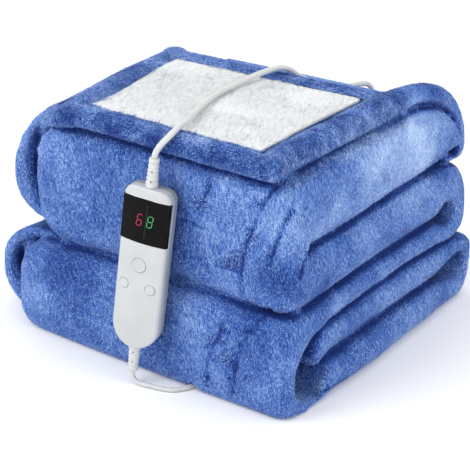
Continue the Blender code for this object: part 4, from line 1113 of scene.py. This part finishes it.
def window_seam(material):
    """A fine upright line in the window, right of its middle, as wide as the joint between two displays;
    its faint glow is a painted glint.
    """
    place = controller_place()
    top, foot = Vector(WINDOW_SEAM["top"]), Vector(WINDOW_SEAM["foot"])
    points, faces = [], []
    for k in range(WINDOW_SEAM["steps"] + 1):
        u, v = top.lerp(foot, k / WINDOW_SEAM["steps"])
        for off in (-WINDOW_SEAM["half"], WINDOW_SEAM["half"]):
            points.append(on_face(place, u + off, v, SEGMENT["rise"]))
        if k:
            faces.append((2 * k - 2, 2 * k, 2 * k + 1, 2 * k - 1))
    mesh = mesh_of("window_seam", points, faces, smooth=False)
    belong(place_object("window_seam", mesh, material), "smoked_window")


def relief_slots(material):
    """Two small drain slots in the front of each strain relief, each a flat dark bead of painted shade."""
    size = Matrix.Diagonal((0.7 * MM, 0.55 * MM, 0.22 * MM, 1.0))
    places = []
    for side in (1.0, -1.0):
        for along in (5.5 * MM, 14.0 * MM):
            radius = 5.2 * MM - 1.0 * MM * along / RELIEF_LENGTH
            at = (0.9 * MM, side * (0.5 * CONTROLLER_LENGTH + along), RELIEF_HEIGHT + radius - 0.15 * MM)
            places.append(controller_place() @ Matrix.Translation(at) @ size)
    beads("relief_slots", places, (12, 8), "lead_sheath", material)


def refinish(names, material):
    """Gives nodes of the part whose shape stays their finished material."""
    for name in names:
        dress(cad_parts[name].data, material)


# ---- studio
# The soft lights: name, place, width and power.
LAMPS = (("key", (-0.45, -1.05, 1.25), 0.8, 9.0), ("right", (1.40, -0.10, 0.95), 0.9, 4.0))
SURROUND = 1.02  # strength of the white all round
FLOOR_REACH = 6.0
FLOOR_DROP = 0.2 * MM  # keeps the floor clear of the part's own underside


def studio():
    """A pale floor, an even white surround and two soft lights."""
    corners = [(x * FLOOR_REACH, y * FLOOR_REACH, 0.0) for x, y in ((-1, -1), (1, -1), (1, 1), (-1, 1))]
    floor = place_object("studio_floor", mesh_of("studio_floor", corners, [(0, 1, 2, 3)], smooth=False),
                         uneven("studio_floor", 1.0 / 3.0, ("FDFDFD", "FFFFFF"), Roughness=0.9))
    floor.location.z = -FLOOR_DROP
    world = bpy.data.worlds.new("studio")
    world.use_nodes = True
    surround = world.node_tree.nodes["Background"]
    surround.inputs["Color"].default_value = linear("FFFFFF")
    surround.inputs["Strength"].default_value = SURROUND
    bpy.context.scene.world = world
    for name, at, size, power in LAMPS:
        data = bpy.data.lights.new(name, "AREA")
        data.size = size
        data.energy = power
        lamp = place_object(name, data)
        lamp.location = at
        lamp.rotation_euler = (Vector((0.0, 0.0, 0.1)) - lamp.location).to_track_quat("-Z", "Y").to_euler()
    bpy.context.scene.view_settings.view_transform = "Standard"


# ---- the whole
def main():
    camera()
    sheath = moulded_pvc()
    course = leads(sheath)
    cloth = fleece_cloth(brushed_fleece("flannel_fleece", (0.55, 0.9 * MM)), course)
    brushed = brushed_fleece("flannel_fleece_pile")
    tree = BVHTree.FromObject(cloth, bpy.context.evaluated_depsgraph_get())
    tones = fleece_pile(cloth, tree, brushed)
    hem_pile(cloth, tree, tones, brushed)
    hem_stitches(tree, spun_thread())
    hem_fringe(tree, brushed)
    field = sherpa_field(tumbled_sherpa("sherpa_base", (0.5, 1.0 * MM)))
    curls = sherpa_pile(field, tumbled_sherpa("sherpa_pile"))
    shell = moulded_abs("moulded_abs", "B9BDBF", "C3C6C8")
    refinish(("controller_front", "button_power", "button_minus", "button_plus"), shell)
    # Painted shade: the back shell is a greyer copy of the same white ABS, so the controller's sides read
    # darker.
    refinish(("controller_back",), moulded_abs("moulded_abs_shaded_back", "969A9D", "9EA2A5"))
    refinish(("display_window",), smoked_acrylic())
    refinish(("strain_relief_upper", "strain_relief_lower", "plug_body"), sheath)
    refinish(("plug_pin_left", "plug_pin_right"), plated_brass())
    digit(*DIGITS[0], lit_segment("red_segment", ("8E1234", "B81E46"), 0.55))
    digit(*DIGITS[1], lit_segment("green_segment", ("26733F", "46A868"), 0.55))
    relief_slots(dark_slot())
    # Painted glint: the seam glows faintly though it is no lamp.
    window_seam(lit_segment("seam_glint", ("232324", "2E2E30"), 0.05))
    studio()


main()
